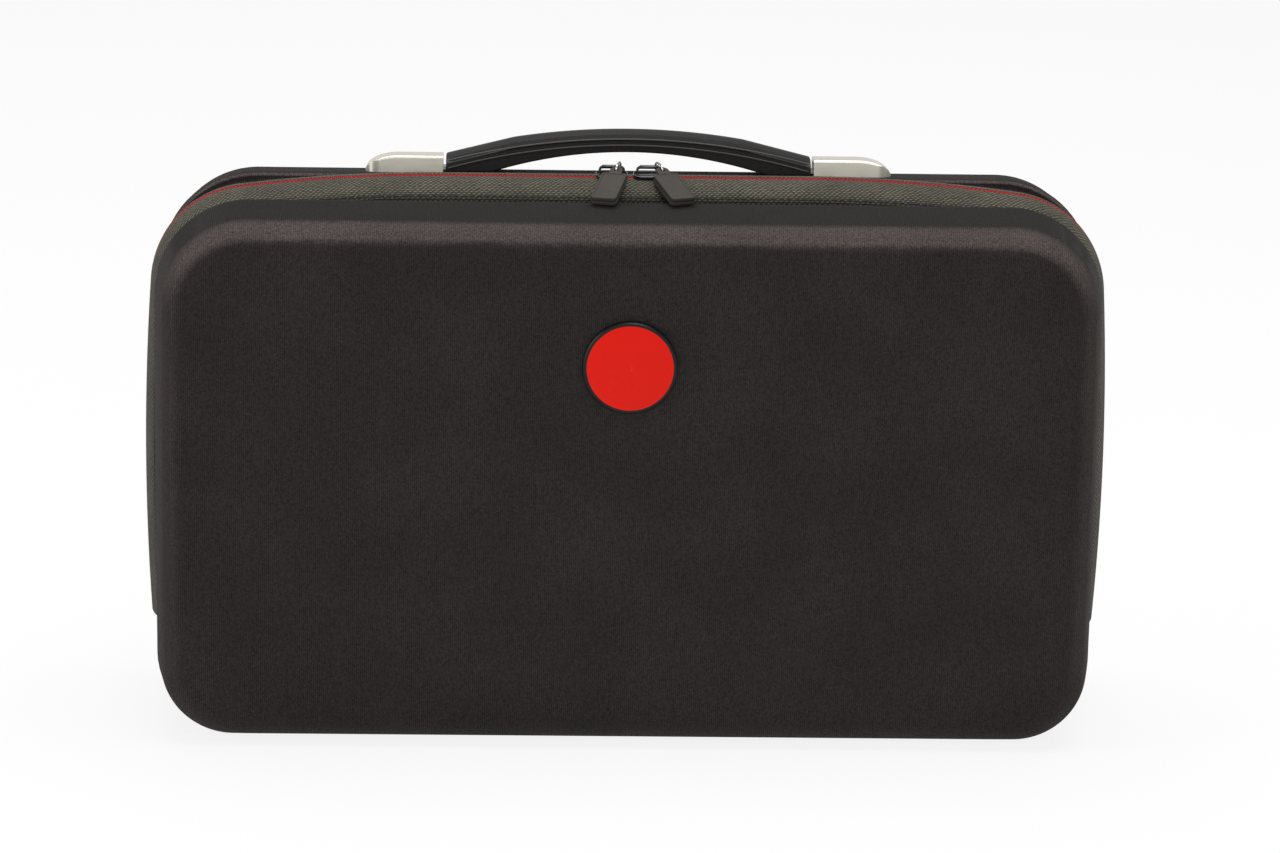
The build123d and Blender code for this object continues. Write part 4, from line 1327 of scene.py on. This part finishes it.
    def tongue(self, bench: Bench) -> None:
        """Add the tongue with its eye.

        Args:
            bench: The tab's mesh.
        """
        strap = Bench()
        outer = self.tongue_width / 2
        centre = -self.eye_bar - self.eye
        thick = self.tongue_thick / 2
        middle = Matrix.Translation((0, centre, thick))
        rim, rim_edges = strap.ring(outer, 24, middle)
        _, eye_edges = strap.ring(self.eye, 24, middle)
        bmesh.ops.bridge_loops(strap.bm, edges=rim_edges + eye_edges)
        for vert in rim:
            if vert.co.y > centre:
                vert.co.y = min(vert.co.y, self.eye_bar)
            elif vert.co.y < centre - 0.2 * MM:
                vert.co.y = -self.tongue_length - 0.6 * MM
                vert.co.x = math.copysign(min(abs(vert.co.x) * 1.6, outer), vert.co.x)
        geom = bmesh.ops.extrude_face_region(strap.bm, geom=list(strap.bm.faces))["geom"]
        bmesh.ops.translate(strap.bm, verts=only(geom, bmesh.types.BMVert), vec=(0, 0, -self.tongue_thick))
        strap.tidy()
        rims = [e for e in strap.creases(70.0) if abs(e.verts[0].co.z - e.verts[1].co.z) < LEVEL]
        strap.round(rims, 0.3 * MM, 2)
        bench.take(strap)

    def build(self) -> None:
        """Make the slider, its link and its tab."""
        self.slider()
        self.link()
        self.tab()


# ------------------------------------------------------------------ strap handle
@dataclass
class CarryHandle:
    """The moulded grip over its steel strap, and the two caps that hold it."""

    finishes: Finishes
    y: float = 35.0 * MM
    wall_top: float = 226.0 * MM
    wall_start: float = 26.0 * MM
    tilt: float = 8.2
    length: float = 152.4 * MM
    width: float = 20.0 * MM
    top_mid: float = 18.4 * MM
    top_end: float = 8.5 * MM
    flat_start: float = 48.0 * MM
    flat_end: float = 7.5 * MM
    under_mid: float = 9.4 * MM
    under_low: float = 0.4 * MM
    under_span: float = 57.5 * MM
    crown: float = 3.3 * MM
    rib_proud: float = 0.7 * MM
    ribs: tuple[tuple[float, float], ...] = ((14.9 * MM, 5.0 * MM), (12.4 * MM, 1.8 * MM))
    rib_half: float = 0.3 * MM
    top_edge: float = 1.6 * MM
    rim_edge: float = 0.7 * MM

    def place(self) -> Matrix:
        """The handle's own frame: X along it, Z square to the wall under it, which leans back."""
        seat_level = self.wall_top - (self.y - self.wall_start) * math.tan(math.radians(self.tilt))
        return (Matrix.Translation((0, self.y, seat_level))
                @ Matrix.Rotation(-math.radians(self.tilt), 4, "X"))

    @staticmethod
    def arch(x: float, span: float, end: float, middle: float) -> float:
        """Height of an arc over its ends.

        Args:
            x: Where, from the middle.
            span: Half of its length.
            end: Its height at the ends.
            middle: Its height in the middle.

        Returns:
            The height at x.
        """
        rise = middle - end
        radius = (span**2 + rise**2) / (2 * rise)
        return middle - radius + math.sqrt(max(radius**2 - x**2, 0.0))

    def top(self, x: float) -> float:
        """Height of the crown's middle line at x, with its flats at the ends."""
        arch = self.arch(x, self.length / 2, self.top_end, self.top_mid)
        if abs(x) <= self.flat_start:
            return arch
        start = self.arch(self.flat_start, self.length / 2, self.top_end, self.top_mid)
        share = (abs(x) - self.flat_start) / (self.length / 2 - self.flat_start)
        return min(arch, start + (self.flat_end - start) * share)

    def under(self, x: float) -> float:
        """Height of the underside at x."""
        if abs(x) >= self.under_span:
            return self.under_low
        return self.arch(x, self.under_span, self.under_low, self.under_mid)

    def side_rib(self, sign: int, middle: float, end: float) -> Bench:
        """Make one arched rib of the grip's side.

        Args:
            sign: 1 for the back, -1 for the front.
            middle: Its height in the middle.
            end: Its height at the grip's ends.

        Returns:
            The bench that holds it.
        """
        rib = Bench()
        half, short, thin = self.length / 2, self.length / 2 - 1.0 * MM, self.rib_half
        rib.block((-short, -0.5 * MM, -thin), (short, self.rib_proud, thin))
        rib.slice_along(0, -half, half, 63)
        ridge = [e for e in rib.creases(60.0) if abs(e.verts[0].co.x - e.verts[1].co.x) > 0.5 * MM
                 and e.verts[0].co.y > 0]
        rib.round(ridge, 0.2 * MM, 2)
        for vert in rib.bm.verts:
            vert.co.z += self.arch(vert.co.x, half, end, middle)
            vert.co.y = sign * (self.width / 2 + vert.co.y)
        rib.tidy()
        # the ribs take the second material, the painted highlight
        for face in rib.bm.faces:
            face.material_index = 1
        return rib

    def grip(self) -> Object:
        """Make the grip: a crowned bar with flats, soft edges and two ribs a side."""
        bench = Bench()
        half, wide = self.length / 2, self.width / 2
        bench.block((-half, -wide, 0.0), (half, wide, 1.0 * MM))
        bench.slice_along(0, -half, half, 95)
        bench.slice_along(1, -wide, wide, 7)
        for vert in bench.bm.verts:
            x, y, z = vert.co
            if z > 0.5 * MM:
                vert.co.z = self.top(x) - self.crown * abs(y / wide) ** 2.4
            else:
                vert.co.z = self.under(x)
        along = [e for e in bench.creases(35.0) if abs(e.verts[0].co.x - e.verts[1].co.x) > 0.5 * MM]
        upper = [e for e in along if e.verts[0].co.z > self.under(e.verts[0].co.x) + 1.0 * MM]
        bench.round(upper, self.top_edge, 4)
        bench.round(bench.creases(60.0), self.rim_edge, 3)
        for middle, end in self.ribs:
            for sign in (-1, 1):
                bench.take(self.side_rib(sign, middle, end))
        bench.tidy()
        bench.place(self.place())
        piece = bench.piece("grip_moulding", Body.HANDLE, self.finishes.grip, "grip_rubber", 28.0,
                            ("handle_grip",))
        piece.data.materials.append(self.finishes.rib)
        return piece

    def build(self) -> None:
        """Make the grip and finish the caps, strap, plates and screws."""
        self.grip()
        for hand in Hand:
            dress(f"{hand.word}_handle_cap", self.finishes.cap)
        dress("handle_strap", self.finishes.steel)
        dress("handle_screws", self.finishes.screw)
        dress("handle_plates", self.finishes.plate)


# ------------------------------------------------------------ shells and insides
@dataclass
class MouldedHalf:
    """One moulded half: shell, lining, binding, webbing and zip ends."""

    half: Half
    finishes: Finishes
    lining_flat: tuple[float, float] = (287.0 * MM, 452.0 * MM)
    lining_area: float = 0.120
    binding_flat: tuple[float, float] = (12.0 * MM, 1180.0 * MM)
    webbing_flat: tuple[float, float] = (20.0 * MM, 450.0 * MM)

    def build(self) -> None:
        """Make the half's soft pieces."""
        word, body, held = self.half.word, self.half.body, self.finishes
        shell = SoftPiece(f"{word}_shell", body, held.shell, "shell_cloth",
                          corners=True).build(f"{word}_moulded_shell")
        lining = SoftPiece(f"{word}_lining", body, held.lining, "lining_cloth", pitch=9.0 * MM,
                           ripple=0.12 * MM, corners=True).build(f"{word}_bonded_lining")
        binding = SoftPiece(f"{word}_binding", body, held.trim, "trim_cloth", pitch=5.0 * MM,
                            ripple=0.18 * MM, wave=9.0 * MM, corners=True).build(f"{word}_folded_binding")
        webbing = SoftPiece(f"{word}_hinge_webbing", body, held.webbing, "trim_cloth", pitch=5.0 * MM,
                            ripple=0.12 * MM, wave=12.0 * MM, corners=True,
                            meets=0.4 * MM).build(f"{word}_sewn_webbing")
        ends = SoftPiece(f"{word}_zip_ends", body, held.trim, "trim_cloth", soften=0.4 * MM, pitch=3.0 * MM,
                         ripple=0.1 * MM, wave=6.0 * MM, corners=True,
                         meets=1.2 * MM).build(f"{word}_zip_end_patches")


@dataclass
class Badge:
    """The domed red disc in its black rim, left bare."""

    finishes: Finishes

    def build(self) -> None:
        """Finish the badge's two pieces."""
        dress("badge_disc", self.finishes.badge)
        dress("badge_rim", self.finishes.badge_rim)


@dataclass
class Interior:
    """The foam inserts with their slots, the hook strips and the net pocket."""

    finishes: Finishes
    columns: tuple[str, ...] = ("left", "middle", "right")
    net_flat: tuple[float, float] = (167.0 * MM, 380.0 * MM)

    def build(self) -> None:
        """Make the pieces that the closed case hides."""
        held = self.finishes
        for column in self.columns:
            for part in ("block", "floor"):
                foam = SoftPiece(f"{column}_insert_{part}", Body.BASE, held.foam, "insert_foam",
                                 soften=0.7 * MM, pitch=14.0 * MM, ripple=0.12 * MM,
                                 corners=True).build(f"{column}_soft_{part}")
        hooks = SoftPiece("hook_strips", Body.BASE, held.hooks, "hook_strip", soften=0.25 * MM,
                          pitch=5.0 * MM, ripple=0.05 * MM, wave=8.0 * MM).build("hook_strip_pile")
        hem = SoftPiece("pocket_hem", Body.LID, held.trim, "trim_cloth", soften=0.5 * MM, pitch=5.0 * MM,
                        ripple=0.15 * MM, wave=10.0 * MM).build("elastic_hem")
        net = SoftPiece("pocket_net", Body.LID, held.net, "pocket_net", pitch=6.0 * MM, ripple=0.35 * MM,
                        wave=40.0 * MM).build("net_pocket")


# ------------------------------------------------------------------------ studio
@dataclass
class Studio:
    """A white floor, soft lamps and the camera."""

    floor_level: float = -0.2 * MM
    floor_white: float = 0.86
    room_light: float = 0.36
    sensor: float = 36.0
    lens: float = 154.6875
    stand: tuple[float, float, float] = (-0.0550, -2.2080, 0.7651)
    pitch: float = 16.182
    yaw: float = 1.58
    roll: float = 1.0

    def floor(self) -> None:
        """Lay the floor: white to the eye, and still dark where the case shades it."""
        bench = Bench()
        bmesh.ops.create_grid(bench.bm, x_segments=1, y_segments=1, size=14.0,
                              matrix=Matrix.Translation((0, 0, self.floor_level)))
        data = bench.mesh("floor")
        plane = bpy.data.objects.new("floor", data)
        bpy.context.scene.collection.objects.link(plane)
        w = Weave("floor white")
        w.finish(Base_Color=(self.floor_white,) * 3, Roughness=0.9, Specular_IOR_Level=0.1)
        glow = w.add("Emission")
        glow.inputs["Color"].default_value = (1.0, 1.0, 1.0, 1.0)
        rays = w.add("LightPath")
        seen = w.math("MAXIMUM", rays.outputs["Is Camera Ray"],
                      w.math("MAXIMUM", rays.outputs["Is Glossy Ray"], rays.outputs["Is Transmission Ray"]))
        blend = w.add("MixShader")
        w.feed(w.math("MULTIPLY", seen, self.floor_white), blend.inputs[0])
        w.links.new(w.shader.outputs["BSDF"], blend.inputs[1])
        w.links.new(glow.outputs[0], blend.inputs[2])
        w.links.new(blend.outputs[0], w.out.inputs["Surface"])
        data.materials.append(w.material)

    def world(self) -> None:
        """Fill the room with even light, and show white behind everything."""
        world = bpy.data.worlds.new("studio")
        bpy.context.scene.world = world
        world.use_nodes = True
        nodes, links = world.node_tree.nodes, world.node_tree.links
        nodes.clear()
        out = nodes.new("ShaderNodeOutputWorld")
        fill, white = nodes.new("ShaderNodeBackground"), nodes.new("ShaderNodeBackground")
        fill.inputs["Strength"].default_value = self.room_light
        white.inputs["Strength"].default_value = 1.0
        for item in (fill, white):
            item.inputs["Color"].default_value = (1.0, 1.0, 1.0, 1.0)
        rays, mix = nodes.new("ShaderNodeLightPath"), nodes.new("ShaderNodeMixShader")
        links.new(rays.outputs["Is Camera Ray"], mix.inputs[0])
        links.new(fill.outputs[0], mix.inputs[1])
        links.new(white.outputs[0], mix.inputs[2])
        links.new(mix.outputs[0], out.inputs["Surface"])

    def lamp(self, name: str, place: Sequence[float], aim: Sequence[float], size: tuple[float, float],
             power: float) -> None:
        """Hang a soft box.

        Args:
            name: Its name.
            place: Where it hangs.
            aim: What it points at.
            size: Its width and height.
            power: Its power in watts.
        """
        light = bpy.data.lights.new(name, "AREA")
        light.shape = "RECTANGLE"
        light.size, light.size_y = size
        light.energy = power
        lamp = bpy.data.objects.new(name, light)
        lamp.location = place
        lamp.rotation_euler = (Vector(aim) - Vector(place)).to_track_quat("-Z", "Y").to_euler()
        bpy.context.scene.collection.objects.link(lamp)

    def camera(self) -> None:
        """Set the camera up."""
        data = bpy.data.cameras.new("camera")
        data.sensor_width = self.sensor
        data.lens = self.lens
        data.clip_end = 60.0
        camera = bpy.data.objects.new("camera", data)
        camera.matrix_world = (Matrix.Translation(self.stand)
                               @ Matrix.Rotation(-math.radians(self.yaw), 4, "Z")
                               @ Matrix.Rotation(math.radians(90.0 - self.pitch), 4, "X")
                               @ Matrix.Rotation(math.radians(self.roll), 4, "Z"))
        bpy.context.scene.collection.objects.link(camera)
        bpy.context.scene.camera = camera

    def build(self) -> None:
        """Make the studio."""
        self.floor()
        self.world()
        self.lamp("top box", (0.1, 0.15, 1.75), (0, 0, 0.2), (1.7, 1.1), 27.0)
        self.lamp("front box", (0.35, -2.3, 1.3), (0, 0, 0.1), (1.4, 1.2), 13.0)
        self.lamp("left box", (-1.7, -0.5, 0.8), (-0.1, 0, 0.15), (0.7, 1.3), 8.5)
        self.camera()
        bpy.context.scene.view_settings.view_transform = "Standard"


def main() -> None:
    """Build the case, piece by piece, and then the studio round it."""
    logging.basicConfig(level=logging.INFO, format="%(name)s: %(message)s")
    finishes = Finishes()
    for half in Half:
        MouldedHalf(half, finishes).build()
        ZipHalf(half, finishes).build()
    Badge(finishes).build()
    ZipPull(Hand.LEFT, finishes, x=-7.6 * MM, turn=-13.7).build()
    ZipPull(Hand.RIGHT, finishes, x=7.9 * MM, turn=20.0).build()
    CarryHandle(finishes).build()
    Interior(finishes).build()
    Studio().build()


if __name__ == "__main__":
    main()
